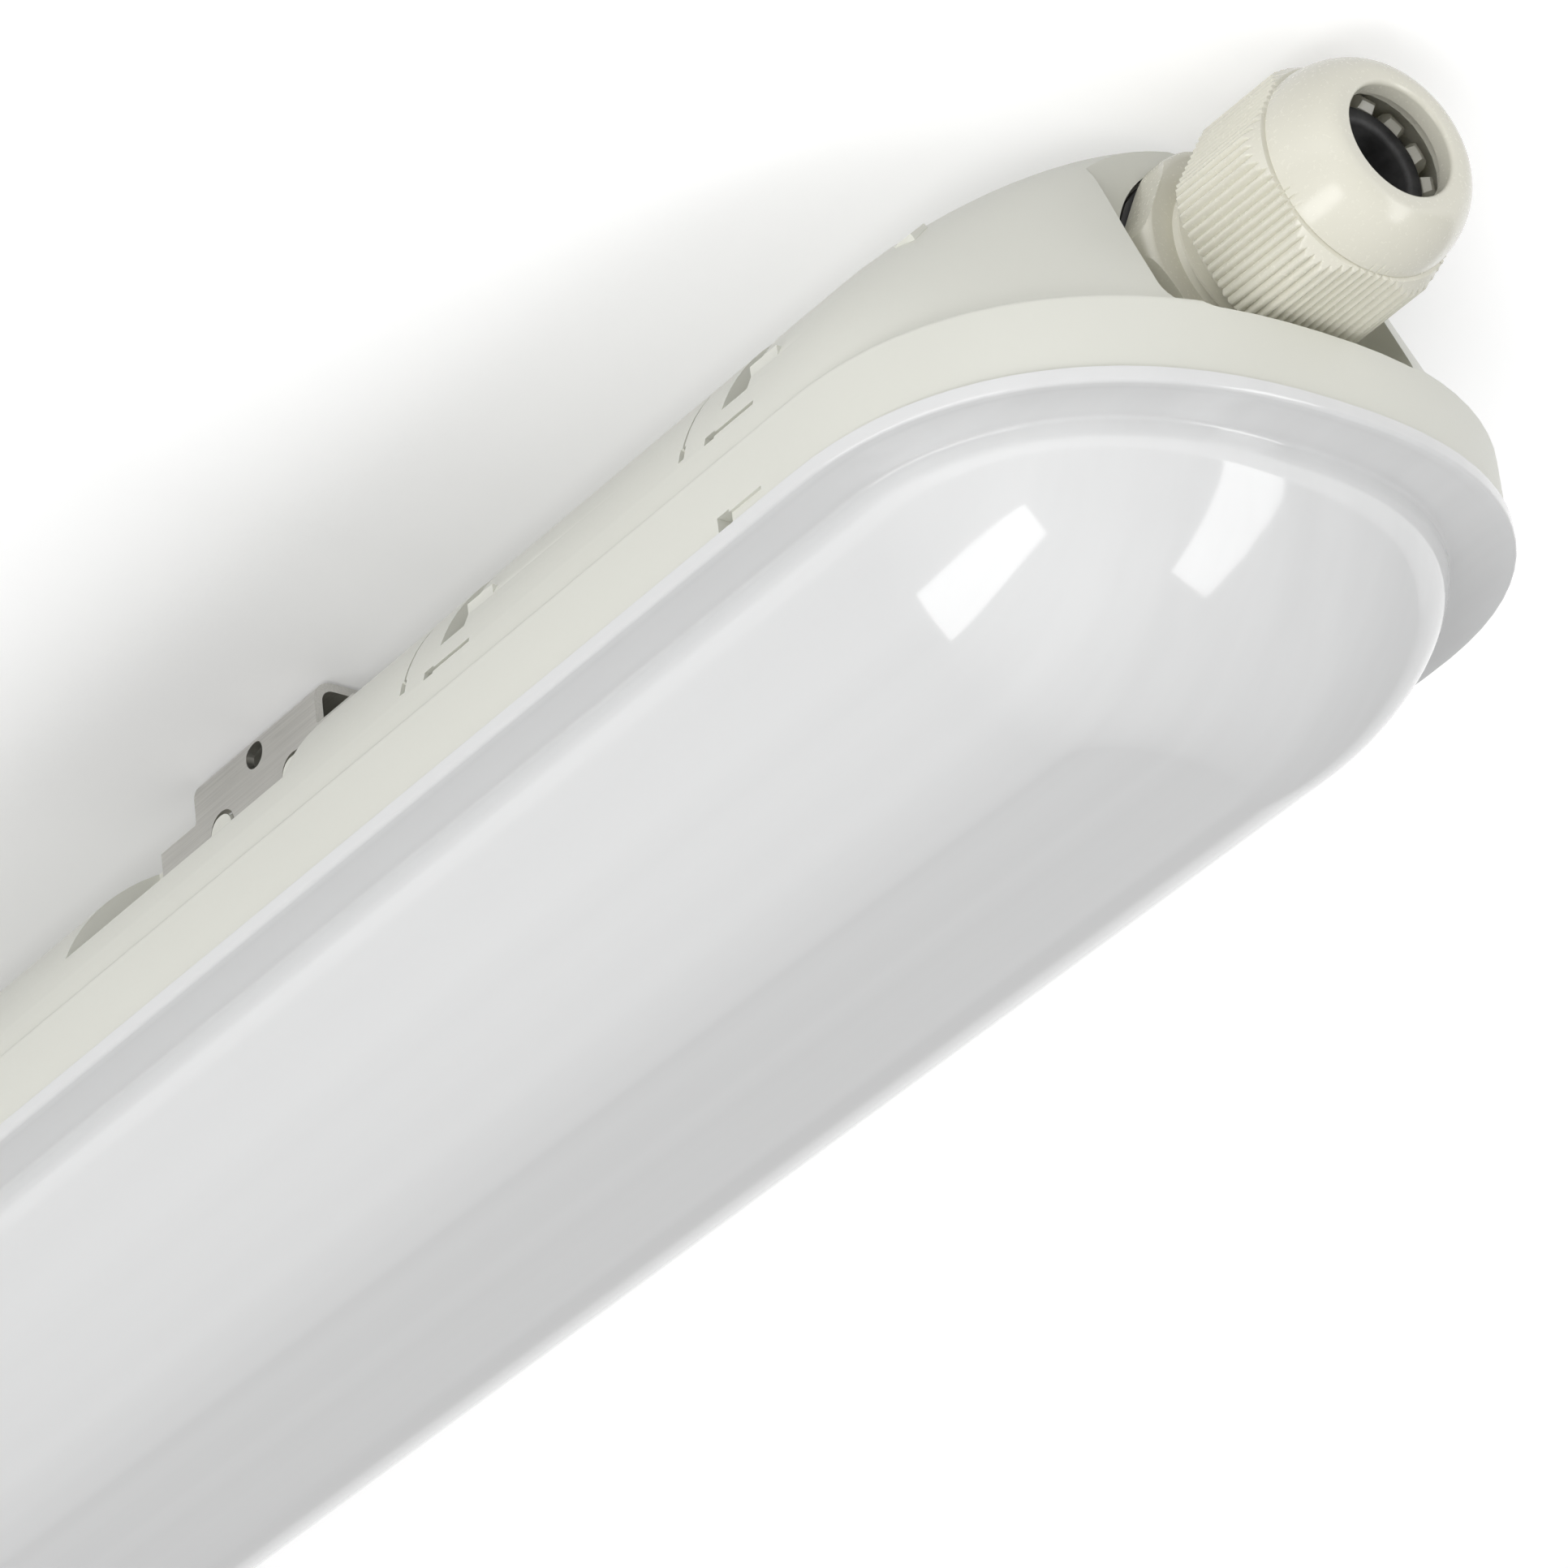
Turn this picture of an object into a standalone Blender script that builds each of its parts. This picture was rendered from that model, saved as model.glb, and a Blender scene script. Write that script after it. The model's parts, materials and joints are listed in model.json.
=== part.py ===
"""Vapour-tight LED luminaire for a ceiling.

A moulded housing hangs in two sheet-metal brackets. An opal diffuser closes it against a rim gasket, a gear
tray inside carries the light boards, the driver and the terminal block, and the rounded ends hold a cable
gland (+X) and a blanking plug (-X). The origin lies in the ceiling plane, above the middle of the housing.
Shapes are modelled from the seam between housing and diffuser, which the empty "seam" places.
"""

import math

import bmesh
import bpy
from mathutils import Matrix, Vector

MM = 0.001

# Whole fixture
LENGTH = 600.0 * MM
HALF_WIDTH = 39.0 * MM
END_REACH = 34.0 * MM
END_POWER = 2.3
ROOF_SQUARING = 2.0
ROOF_SQUARING_POWER = 8
END_STEPS = 20
ROUND_STEPS = 32
SEAL_STEPS = 24
GAP = 0.3 * MM
OVERRUN = 4.0 * MM
SHARP_ANGLE = math.radians(32)
MERGE_DISTANCE = 0.001 * MM

# Housing
BASE_HEIGHT = 34.4 * MM
SKIRT_HEIGHT = 8.1 * MM
SKIRT_ROUND = 0.5 * MM
ROUND_RINGS = 2
LEDGE_SIDE = 1.7 * MM
LEDGE_END = 0.3 * MM
FOOT_FILLET = 0.6 * MM
ROOF_CUT = 0.5 * MM
ARCH_STEPS = 10
CAVITY_STEPS = 8
END_LEAN = 11.5 * MM
ROOF_WALL = 2.2 * MM
SKIRT_WALL = 2.0 * MM
CHANNEL_WIDTH = 3.2 * MM
CHANNEL_DEPTH = 6.1 * MM
INNER_RIM = 1.0 * MM
POCKET_WALL = 2.0 * MM

# Notch at each end, whose wall takes the gland or the plug
NOTCH_DEPTH = 12.4 * MM
NOTCH_HALF_WIDTH = 15.5 * MM
NOTCH_SINK = 0.5 * MM
NOTCH_ROUND = 4.0 * MM
NOTCH_ROUND_STEPS = 4
NOTCH_WALL = 4.5 * MM
SEAT_DEPTH = 2.0 * MM
SEAT_RADIUS = 12.7 * MM
GLAND_ABOVE_SKIRT = 12.5 * MM
THREAD_RADIUS = 10.0 * MM

# Recesses for the brackets, and the hooks that snap into the brackets' windows
BRACKET_FROM_END = 145.3 * MM
RECESS_HALF_LENGTH = 21.0 * MM
RECESS_FLOOR = 15.9 * MM
RECESS_HALF_GAP = 22.7 * MM
HOOK_REACH = 2.5 * MM
HOOK_LOW = 22.2 * MM
HOOK_HIGH = 27.9 * MM
HOOK_LIP = 1.2 * MM
HOOK_ROOT = 0.8 * MM

# Brackets
SHEET = 1.0 * MM
BEND_RADIUS = 2.0 * MM
BEND_STEPS = 4
BRACKET_RISE = 1.3 * MM
BRACKET_WIDTH = 25.0 * MM
FOOT_WIDTH = 37.0 * MM
FOOT_BELOW_ROOF = 4.2 * MM
WINDOW_INNER = 2.6 * MM
WINDOW_OUTER = 9.1 * MM
WINDOW_CLEARANCE = 0.6 * MM
TOOL_HOLE_RADIUS = 1.55 * MM
TOOL_HOLE_BELOW_ROOF = 1.8 * MM
SCREW_SLOT_HALF_LENGTH = 7.0 * MM
SCREW_SLOT_RADIUS = 2.6 * MM

# Clip stations along each side: a pocket with a deeper throat, and two thin slots
STATION_FROM_END = 47.0 * MM
STATION_PITCH = 48.6 * MM
STATION_COUNT = 2
POCKET_LENGTH = 9.5 * MM
POCKET_FLOOR = 15.8 * MM
POCKET_HALF_GAP = 30.5 * MM
THROAT_LENGTH = 5.0 * MM
THROAT_HALF_GAP = 27.0 * MM
SLOT_WIDTH = 1.2 * MM
SLOT_DEPTH = 1.4 * MM
SLOT_LOW = 14.0 * MM
SLOT_HIGH = 22.0 * MM
SLOT_OFFSET = 6.0 * MM
KEYWAY_OFFSET = 2.0 * MM
KEYWAY_LENGTH = 8.0 * MM
KEYWAY_HEIGHT = 13.0 * MM

# Pry notches in the skirt's lower edge
PRY_FROM_END = 45.7 * MM
PRY_LENGTH = 7.1 * MM
PRY_HEIGHT = 1.6 * MM
PRY_DEPTH = 1.0 * MM

# Nubs on the roof's shoulders, and stops inside that the gear tray rests against
NUB_FROM_END = 24.5 * MM
NUB_FROM_MIDDLE = 28.0 * MM
NUB_LENGTH = 2.6 * MM
NUB_WIDTH = 2.6 * MM
NUB_HEIGHT = 0.6 * MM
NUB_CENTRE_HEIGHT = 24.4 * MM
NUB_SINK = 1.0 * MM
STOP_FROM_BRACKET = 54.7 * MM
STOP_LENGTH = 6.0 * MM
STOP_REACH = 2.6 * MM
STOP_HEIGHT = 4.0 * MM

# Diffuser
FLANGE_OVERHANG = 0.5 * MM
FLANGE_THICKNESS = 1.4 * MM
FLANGE_ROUND = 0.4 * MM
DISH_WIDTH = 3.4 * MM
DISH_DEPTH = 0.6 * MM
BOWL_INSET = 6.0 * MM
BOWL_SHOULDER = 3.2 * MM
BOWL_CLOSE = 22.5 * MM
BOWL_DROP = 21.0 * MM
BOWL_POWER = 1.3
BOWL_STEPS = 10
BOWL_INNER_STEPS = 7
DIFFUSER_WALL = 1.6 * MM
TONGUE_WIDTH = 1.7 * MM
TONGUE_HEIGHT = 3.5 * MM

# Gasket
GASKET_WIDTH = 2.6 * MM
GASKET_CHAMFER = 0.6 * MM

# Cable gland, measured outward from its seat in the notch's wall
WASHER_RADIUS = 12.3 * MM
WASHER_THICKNESS = 1.2 * MM
BODY_FLATS = 23.4 * MM
BODY_CORNER_RADIUS = 12.8 * MM
BODY_TURN = math.radians(36)
BODY_HEX_LENGTH = 4.4 * MM
BODY_CHAMFER = 0.8 * MM
BODY_BORE = 6.0 * MM
STUB_INSIDE = 2.7 * MM
CAP_THREAD_RADIUS = 9.9 * MM
CAP_THREAD_LENGTH = 14.2 * MM
CLAW_LENGTH = 4.0 * MM
CLAW_ROOT_RADIUS = 9.4 * MM
CLAW_TIP_RADIUS = 8.6 * MM
CLAW_COUNT = 10
CLAW_SLOT_WIDTH = 1.2 * MM
CLAW_SLOT_LENGTH = 6.5 * MM
SEAL_RADIUS = 6.9 * MM
SEAL_BORE = 5.0 * MM
SEAL_LENGTH = 14.0 * MM
SEAL_SET_BACK = 0.1 * MM
SEAL_LIP = 0.5 * MM

# Dome nut
CAP_SHOWN_THREAD = 4.4 * MM
CAP_FLATS = 23.0 * MM
CAP_CORNER_RADIUS = 12.7 * MM
CAP_TURN = math.radians(30)
CAP_CHAMFER = 0.5 * MM
CAP_HEX_LENGTH = 10.6 * MM
SHOULDER_LENGTH = 1.85 * MM
DOME_RADIUS = 11.85 * MM
DOME_LENGTH = 6.45 * MM
DOME_POWER = 1.8
DOME_STEPS = 9
LIP_RADIUS = 7.5 * MM
LIP_THICKNESS = 2.0 * MM
MOUTH_RADIUS = 6.15 * MM
CAP_BORE = 10.2 * MM
CAP_POCKET_RADIUS = 9.6 * MM
CAP_POCKET_DEPTH = 2.6 * MM
CAP_TAPER_LENGTH = 1.0 * MM
RING_THICKNESS = 0.9 * MM
RING_BORE = 6.9 * MM

# Blanking plug
PLUG_TURN = math.radians(30)
PLUG_HEAD_LENGTH = 6.0 * MM
PLUG_DOME_HEIGHT = 1.6 * MM
PLUG_DOME_RADIUS = 10.6 * MM
PLUG_CAVITY_RADIUS = 7.4 * MM
PLUG_DOME_STEPS = 4

# Gear tray
TRAY_FLOOR = 2.5 * MM
TRAY_SHEET = 0.8 * MM
TRAY_HALF_WIDTH = 31.5 * MM
TRAY_EDGE = 13.3 * MM
TRAY_FROM_END = 65.0 * MM
TRAY_BEND = 1.2 * MM
TRAY_CUT_HALF_WIDTH = 5.0 * MM
TRAY_CUT_LENGTH = 7.0 * MM

# Light boards and their plugs
BOARD_FROM_TRAY_END = 13.0 * MM
BOARD_WIDTH = 20.0 * MM
BOARD_THICKNESS = 1.2 * MM
BOARD_SPACING = 4.0 * MM
CONNECTOR_LENGTH = 8.0 * MM
CONNECTOR_WIDTH = 9.0 * MM
CONNECTOR_HEIGHT = 3.0 * MM
CONNECTOR_INSET = 3.0 * MM

# Driver
DRIVER_LENGTH = 150.0 * MM
DRIVER_WIDTH = 40.0 * MM
DRIVER_HEIGHT = 19.5 * MM
DRIVER_MIDDLE = -60.0 * MM
DRIVER_ROUND = 1.5 * MM
LID_THICKNESS = 1.2 * MM
LID_INSET = 1.0 * MM

# Terminal block, its foot and the earth screw
TERMINAL_FROM_TRAY_END = 45.0 * MM
TERMINAL_LENGTH = 18.0 * MM
TERMINAL_WIDTH = 30.0 * MM
TERMINAL_HEIGHT = 14.0 * MM
TERMINAL_ROUND = 0.8 * MM
TERMINAL_POLES = 3
TERMINAL_HOLE_RADIUS = 1.7 * MM
TERMINAL_HOLE_DEPTH = 4.0 * MM
TERMINAL_HOLE_HEIGHT = 4.5 * MM
TERMINAL_FOOT_THICKNESS = 1.5 * MM
TERMINAL_FOOT_BORDER = 2.0 * MM
EARTH_SCREW_FROM_TERMINAL = 30.0 * MM
EARTH_SCREW_SIDE = 12.0 * MM
EARTH_HEAD_RADIUS = 3.5 * MM
EARTH_HEAD_HEIGHT = 2.4 * MM
EARTH_WASHER_RADIUS = 4.5 * MM
EARTH_WASHER_THICKNESS = 0.8 * MM

# Wires
WIRE_RADIUS = 0.9 * MM
LED_WIRE_RADIUS = 0.7 * MM
WIRE_SPACING = 9.0 * MM
LED_WIRE_SPACING = 4.0 * MM
WIRE_SAG = 2.5 * MM
WIRE_STEPS = 4
LED_WIRE_LEAD = 5.0 * MM

# Spring clips over the tray's edges
CLIP_FROM_BRACKET = 35.3 * MM
CLIP_WIDTH = 8.0 * MM
CLIP_SHEET = 0.7 * MM
CLIP_BEND = 0.5 * MM
CLIP_LENGTH = 7.0 * MM

# Places worked out from the sizes
HALF_LENGTH = LENGTH / 2
ARCH_RISE = BASE_HEIGHT + ROOF_CUT - SKIRT_HEIGHT
STRAIGHT = HALF_LENGTH - END_REACH
ARCH_HALF_WIDTH = HALF_WIDTH - LEDGE_SIDE
CAVITY_INSET = SKIRT_WALL + CHANNEL_WIDTH + INNER_RIM
CAVITY_HALF_WIDTH = HALF_WIDTH - CAVITY_INSET
SEAM_Z = -(BASE_HEIGHT + BRACKET_RISE)
NOTCH_WALL_X = HALF_LENGTH - NOTCH_DEPTH
SEAT_X = NOTCH_WALL_X - SEAT_DEPTH
NOTCH_FLOOR = SKIRT_HEIGHT - NOTCH_SINK
GLAND_Z = SKIRT_HEIGHT + GLAND_ABOVE_SKIRT
BRACKET_X = HALF_LENGTH - BRACKET_FROM_END
HOOK_INNER = WINDOW_INNER + GAP + GAP / 2
HOOK_OUTER = WINDOW_OUTER - GAP - GAP / 2
ARM_HALF_GAP = RECESS_HALF_GAP + GAP
FOOT_BOTTOM = RECESS_FLOOR + GAP
WINDOW_BOTTOM = HOOK_LOW - GAP
WINDOW_TOP = HOOK_HIGH + WINDOW_CLEARANCE
FOOT_TOP = BASE_HEIGHT - FOOT_BELOW_ROOF
TOOL_HOLE_HEIGHT = BASE_HEIGHT - TOOL_HOLE_BELOW_ROOF
STOP_X = BRACKET_X - STOP_FROM_BRACKET
TRAY_END = HALF_LENGTH - TRAY_FROM_END
TRAY_TOP = TRAY_FLOOR + TRAY_SHEET
ON_TRAY = TRAY_TOP + GAP
BOARD_END = TRAY_END - BOARD_FROM_TRAY_END
TERMINAL_MIDDLE = TRAY_END - TERMINAL_FROM_TRAY_END
CLIP_X = BRACKET_X + CLIP_FROM_BRACKET
HEX_START = WASHER_THICKNESS + 2 * GAP
HEX_END = HEX_START + BODY_HEX_LENGTH
CAP_THREAD_END = HEX_END + CAP_THREAD_LENGTH
CLAW_TIP = CAP_THREAD_END + CLAW_LENGTH
SEAL_TIP = CLAW_TIP - SEAL_SET_BACK
SEAL_SEAT = SEAL_TIP - SEAL_LENGTH - GAP
CAP_RIM = HEX_END + CAP_SHOWN_THREAD
CAP_CORNER_END = CAP_RIM + CAP_HEX_LENGTH
DOME_START = CAP_CORNER_END + SHOULDER_LENGTH
MOUTH = DOME_START + DOME_LENGTH
LIP_INSIDE = MOUTH - LIP_THICKNESS
SLIP_RING_TOP = LIP_INSIDE - GAP


def clear_scene():
    for old in list(bpy.data.objects):
        bpy.data.objects.remove(old, do_unlink=True)


def new_collection(name):
    collection = bpy.data.collections.new(name)
    bpy.context.scene.collection.children.link(collection)
    return collection


def new_material(name, colour, roughness, metallic=0.0):
    material = bpy.data.materials.new(name)
    material.use_nodes = True
    shader = material.node_tree.nodes["Principled BSDF"]
    shader.inputs["Base Color"].default_value = (*colour, 1.0)
    shader.inputs["Roughness"].default_value = roughness
    shader.inputs["Metallic"].default_value = metallic
    material.diffuse_color = (*colour, 1.0)
    return material


def new_empty(name, parent, location, rotation=(0, 0, 0)):
    empty = bpy.data.objects.new(name, None)
    PARTS.objects.link(empty)
    empty.parent = parent
    empty.location = location
    empty.rotation_euler = rotation
    empty.empty_display_size = HALF_WIDTH
    return empty


def new_part(name, data, material, parent, location=(0, 0, 0)):
    """A visible sub-part."""
    part = bpy.data.objects.new(name, data)
    PARTS.objects.link(part)
    part.parent = parent
    part.location = location
    if not data.materials:
        data.materials.append(material)
    return part


def new_tool(name, data, parent, location=(0, 0, 0)):
    """A shape that only cuts or joins, left out of the render."""
    tool = bpy.data.objects.new(name, data)
    CUTTERS.objects.link(tool)
    tool.parent = parent
    tool.location = location
    tool.hide_render = True
    tool.display_type = "WIRE"
    return tool


def combine(part, tool, operation):
    modifier = part.modifiers.new(tool.name, "BOOLEAN")
    modifier.operation = operation
    modifier.object = tool


def bake(part):
    """Keeps the evaluated shape as the part's mesh, smooth but for its sharp edges."""
    graph = bpy.context.evaluated_depsgraph_get()
    mesh = bpy.data.meshes.new_from_object(part.evaluated_get(graph), depsgraph=graph)
    part.modifiers.clear()
    part.data = mesh
    mesh.name = part.name
    mesh.shade_smooth()
    mesh.set_sharp_from_angle(angle=SHARP_ANGLE)
    return part


def mesh_of(name, shape):
    """The mesh of a bmesh whose faces are turned outward."""
    bmesh.ops.recalc_face_normals(shape, faces=shape.faces)
    mesh = bpy.data.meshes.new(name)
    shape.to_mesh(mesh)
    shape.free()
    return mesh


def loft_mesh(name, rings, looped=False):
    """A solid through rings of equal point counts, capped at both ends or closed on itself."""
    shape = bmesh.new()
    levels = [[shape.verts.new(point) for point in ring] for ring in rings]
    following = levels[1:] + levels[:1] if looped else levels[1:]
    for near, far in zip(levels, following):
        for index, point in enumerate(near):
            other = (index + 1) % len(near)
            shape.faces.new((point, near[other], far[other], far[index]))
    if not looped:
        shape.faces.new(levels[0])
        shape.faces.new(levels[-1])
    return mesh_of(name, shape)


def add_box(shape, low, high, placement=None):
    """Adds the box between two opposite corners, then moves it by a matrix."""
    low, high = Vector(low), Vector(high)
    fit = Matrix.Translation((low + high) / 2) @ Matrix.Diagonal((*(high - low), 1))
    made = bmesh.ops.create_cube(shape, size=1)
    bmesh.ops.transform(shape, matrix=(placement or Matrix()) @ fit, verts=made["verts"])


def boxes_mesh(name, boxes, placements=(None,)):
    shape = bmesh.new()
    for placement in placements:
        for low, high in boxes:
            add_box(shape, low, high, placement)
    return mesh_of(name, shape)


def mirrored(flip_x=True, flip_y=True):
    """The matrices that repeat a shape from the +X +Y quarter in the others."""
    ends = (1, -1) if flip_x else (1,)
    sides = (1, -1) if flip_y else (1,)
    return [Matrix.Diagonal((end, side, 1, 1)) for end in ends for side in sides]


def prism_mesh(name, outline, depth, placements=(None,)):
    """An outline of (x, y) points extruded up by the depth, once for each placement."""
    shape = bmesh.new()
    for placement in placements:
        face = shape.faces.new([shape.verts.new((x, y, 0)) for x, y in outline])
        made = bmesh.ops.extrude_face_region(shape, geom=[face])["geom"]
        top = [item for item in made if isinstance(item, bmesh.types.BMVert)]
        bmesh.ops.translate(shape, vec=(0, 0, depth), verts=top)
        if placement:
            bmesh.ops.transform(shape, matrix=placement, verts=list(face.verts) + top)
    return mesh_of(name, shape)


def arc(centre, radius, start, end, steps):
    """Points of a circular arc in a plane, angles in degrees."""
    turns = [math.radians(start + (end - start) * step / steps) for step in range(steps + 1)]
    return [(centre[0] + radius * math.cos(a), centre[1] + radius * math.sin(a)) for a in turns]


def circle(radius, steps):
    """Points of a whole circle, without the first one again."""
    return arc((0, 0), radius, 0, 360, steps)[:-1]


def turned_mesh(name, outline, looped):
    """The edges of an outline of (radius, height) points, run clockwise so that its outer side goes down."""
    pairs = list(zip(outline, outline[1:] + outline[:1]))
    if sum(a[0] * b[1] - b[0] * a[1] for a, b in pairs) > 0:
        outline = outline[::-1]
    mesh = bpy.data.meshes.new(name)
    edges = [(index, index + 1) for index in range(len(outline) - 1)]
    if looped:
        edges.append((len(outline) - 1, 0))
    mesh.from_pydata([(radius, 0, height) for radius, height in outline], edges, [])
    return mesh


def turn(part, steps=ROUND_STEPS):
    """Turns a profile about the part's own Z axis."""
    screw = part.modifiers.new("turned", "SCREW")
    screw.steps = steps
    screw.render_steps = steps
    screw.use_merge_vertices = True
    screw.merge_threshold = MERGE_DISTANCE
    return part


def turned_tool(name, outline, parent):
    """A solid turned tool: its outline starts and ends on the axis."""
    return turn(new_tool(name, turned_mesh(name, outline, looped=False), parent))


def turned_part(name, outline, material, parent, looped=True, steps=ROUND_STEPS):
    return turn(new_part(name, turned_mesh(name, outline, looped), material, parent), steps)


def hexagon_mesh(name, flats, low, high, corner):
    """A hexagonal bar along Z with one corner at an angle from -X."""
    shape = bmesh.new()
    radius = flats / 2 / math.cos(math.pi / 6)
    bmesh.ops.create_cone(shape, cap_ends=True, segments=6, radius1=radius, radius2=radius, depth=high - low)
    middle = Matrix.Translation((0, 0, (low + high) / 2))
    placement = middle @ Matrix.Rotation(math.pi / 2 + corner, 4, "Z")
    bmesh.ops.transform(shape, matrix=placement, verts=shape.verts)
    return mesh_of(name, shape)


def chamfered_hexagon(name, low, high, corner, parent):
    """The hexagon of the gland's body or of the plug's head, its corners turned down and chamfered."""
    bar = new_tool(name, hexagon_mesh(name, BODY_FLATS, low, high, corner), parent)
    barrel = [
        (0, high + OVERRUN),
        (BODY_CORNER_RADIUS - BODY_CHAMFER - OVERRUN, high + OVERRUN),
        (BODY_CORNER_RADIUS, high - BODY_CHAMFER),
        (BODY_CORNER_RADIUS, low + BODY_CHAMFER),
        (BODY_CORNER_RADIUS - BODY_CHAMFER - OVERRUN, low - OVERRUN),
        (0, low - OVERRUN),
    ]
    combine(bar, turned_tool(name + "_barrel", barrel, parent), "INTERSECT")
    return bar


def plan_ring(side_inset, end_inset, height, power=END_POWER):
    """One level of the housing's plan: straight sides joined by superelliptic ends."""
    half_width = HALF_WIDTH - side_inset
    reach = END_REACH - end_inset
    points = []
    for end in (1, -1):
        for step in range(END_STEPS + 1):
            angle = math.pi * (step / END_STEPS - 1 / 2)
            along = abs(math.cos(angle)) ** (2 / power)
            across = math.copysign(abs(math.sin(angle)) ** (2 / power), angle)
            points.append((end * (STRAIGHT + reach * along), end * half_width * across, height))
    return points


def arch_rings(wall, start_height, steps):
    """Levels of the housing's arch, moved inward by the wall, from a height up to the flat roof.

    The ends grow squarer toward the roof.
    """
    half_width = ARCH_HALF_WIDTH - wall
    rise = ARCH_RISE - wall
    first = math.asin((start_height - SKIRT_HEIGHT) / rise)
    last = math.asin((BASE_HEIGHT - wall - SKIRT_HEIGHT) / rise)
    rings = []
    for step in range(steps + 1):
        angle = first + (last - first) * step / steps
        climb = math.sin(angle)
        side_inset = HALF_WIDTH - half_width * math.cos(angle)
        end_inset = LEDGE_END + END_LEAN * climb + wall
        power = END_POWER + ROOF_SQUARING * climb**ROOF_SQUARING_POWER
        rings.append(plan_ring(side_inset, end_inset, SKIRT_HEIGHT + rise * climb, power))
    return rings


def skirt_rings():
    """Levels of the skirt, its rounded edge and the fillet where the arch rises from the ledge."""
    edge = arc((SKIRT_ROUND, SKIRT_HEIGHT - SKIRT_ROUND), SKIRT_ROUND, 180, 90, ROUND_RINGS)
    fillet_centre = (LEDGE_SIDE - FOOT_FILLET, SKIRT_HEIGHT + FOOT_FILLET)
    fillet = arc(fillet_centre, FOOT_FILLET, -90, -15, ROUND_RINGS)
    levels = [(0, 0)] + edge + fillet
    return [plan_ring(inset, inset * LEDGE_END / LEDGE_SIDE, height) for inset, height in levels]


def arch_slope(low, high):
    """Where the arch stands at a low height, and the angle and length of its chord to a high one."""
    rises = [(height - SKIRT_HEIGHT) / ARCH_RISE for height in (low, high)]
    near, far = [ARCH_HALF_WIDTH * math.sqrt(1 - rise * rise) for rise in rises]
    return near, math.atan2(near - far, high - low), math.hypot(near - far, high - low)


def station_starts():
    """The +X end of each clip station's pocket."""
    return [HALF_LENGTH - STATION_FROM_END - STATION_PITCH * index for index in range(STATION_COUNT)]


def box_cutter(name, boxes, flip_y=True):
    return new_tool(name, boxes_mesh(name, boxes, mirrored(flip_y=flip_y)), SEAM)


def cavity_tool():
    """The hollow of the housing, which keeps a wall round each notch, recess and pocket."""
    knee_cosine = CAVITY_HALF_WIDTH / (ARCH_HALF_WIDTH - ROOF_WALL)
    knee_height = SKIRT_HEIGHT + (ARCH_RISE - ROOF_WALL) * math.sqrt(1 - knee_cosine**2)
    walls = [plan_ring(CAVITY_INSET, CAVITY_INSET, -OVERRUN)]
    walls.append(plan_ring(CAVITY_INSET, CAVITY_INSET, CHANNEL_DEPTH))
    walls += arch_rings(ROOF_WALL, knee_height, CAVITY_STEPS)
    tool = new_tool("cavity", loft_mesh("cavity", walls), SEAM)
    top = BASE_HEIGHT + OVERRUN
    notch = (
        (SEAT_X - NOTCH_WALL, -NOTCH_HALF_WIDTH - POCKET_WALL, NOTCH_FLOOR - POCKET_WALL),
        (HALF_LENGTH, NOTCH_HALF_WIDTH + POCKET_WALL, top),
    )
    combine(tool, box_cutter("notch_walls", [notch], flip_y=False), "DIFFERENCE")
    recess_half = RECESS_HALF_LENGTH + POCKET_WALL
    pockets = [
        (
            (BRACKET_X - recess_half, RECESS_HALF_GAP - POCKET_WALL, RECESS_FLOOR - POCKET_WALL),
            (BRACKET_X + recess_half, HALF_WIDTH, top),
        )
    ]
    for start in station_starts():
        low = (start - POCKET_WALL, THROAT_HALF_GAP - POCKET_WALL, POCKET_FLOOR - POCKET_WALL)
        pockets.append((low, (start + POCKET_LENGTH + POCKET_WALL, HALF_WIDTH, top)))
    combine(tool, box_cutter("pocket_walls", pockets), "DIFFERENCE")
    return tool


def channel_tool():
    """The groove in the rim that takes the gasket and the diffuser's tongue."""
    outer, inner = SKIRT_WALL, SKIRT_WALL + CHANNEL_WIDTH
    corners = [(outer, -OVERRUN), (inner, -OVERRUN), (inner, CHANNEL_DEPTH), (outer, CHANNEL_DEPTH)]
    rings = [plan_ring(inset, inset, height) for inset, height in corners]
    return new_tool("channel", loft_mesh("channel", rings, looped=True), SEAM)


def notch_tool():
    """The open notch at each end: a U outline with rounded bottom corners, pushed in along X."""
    low, high = NOTCH_FLOOR, BASE_HEIGHT + OVERRUN
    side = NOTCH_HALF_WIDTH - NOTCH_ROUND
    level = low + NOTCH_ROUND
    outline = arc((side, level), NOTCH_ROUND, -90, 0, NOTCH_ROUND_STEPS) + [(NOTCH_HALF_WIDTH, high)]
    outline += [(-y, z) for y, z in reversed(outline)]
    upright = Matrix(((0, 0, 1, NOTCH_WALL_X), (1, 0, 0, 0), (0, 1, 0, 0), (0, 0, 0, 1)))
    placements = [flip @ upright for flip in mirrored(flip_y=False)]
    mesh = prism_mesh("notches", outline, NOTCH_DEPTH + OVERRUN, placements)
    return new_tool("notches", mesh, SEAM)


def slot_tool():
    """The thin slot beside each clip station, which follows the arch's slope."""
    near, lean, length = arch_slope(SLOT_LOW, SLOT_HIGH)
    placements = []
    for start in station_starts():
        foot = Matrix.Translation((start - SLOT_OFFSET, near, SLOT_LOW))
        placements += [flip @ foot @ Matrix.Rotation(lean, 4, "X") for flip in mirrored()]
    box = ((-SLOT_WIDTH / 2, -SLOT_DEPTH, 0), (SLOT_WIDTH / 2, OVERRUN, length))
    return new_tool("slots", boxes_mesh("slots", [box], placements), SEAM)


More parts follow.
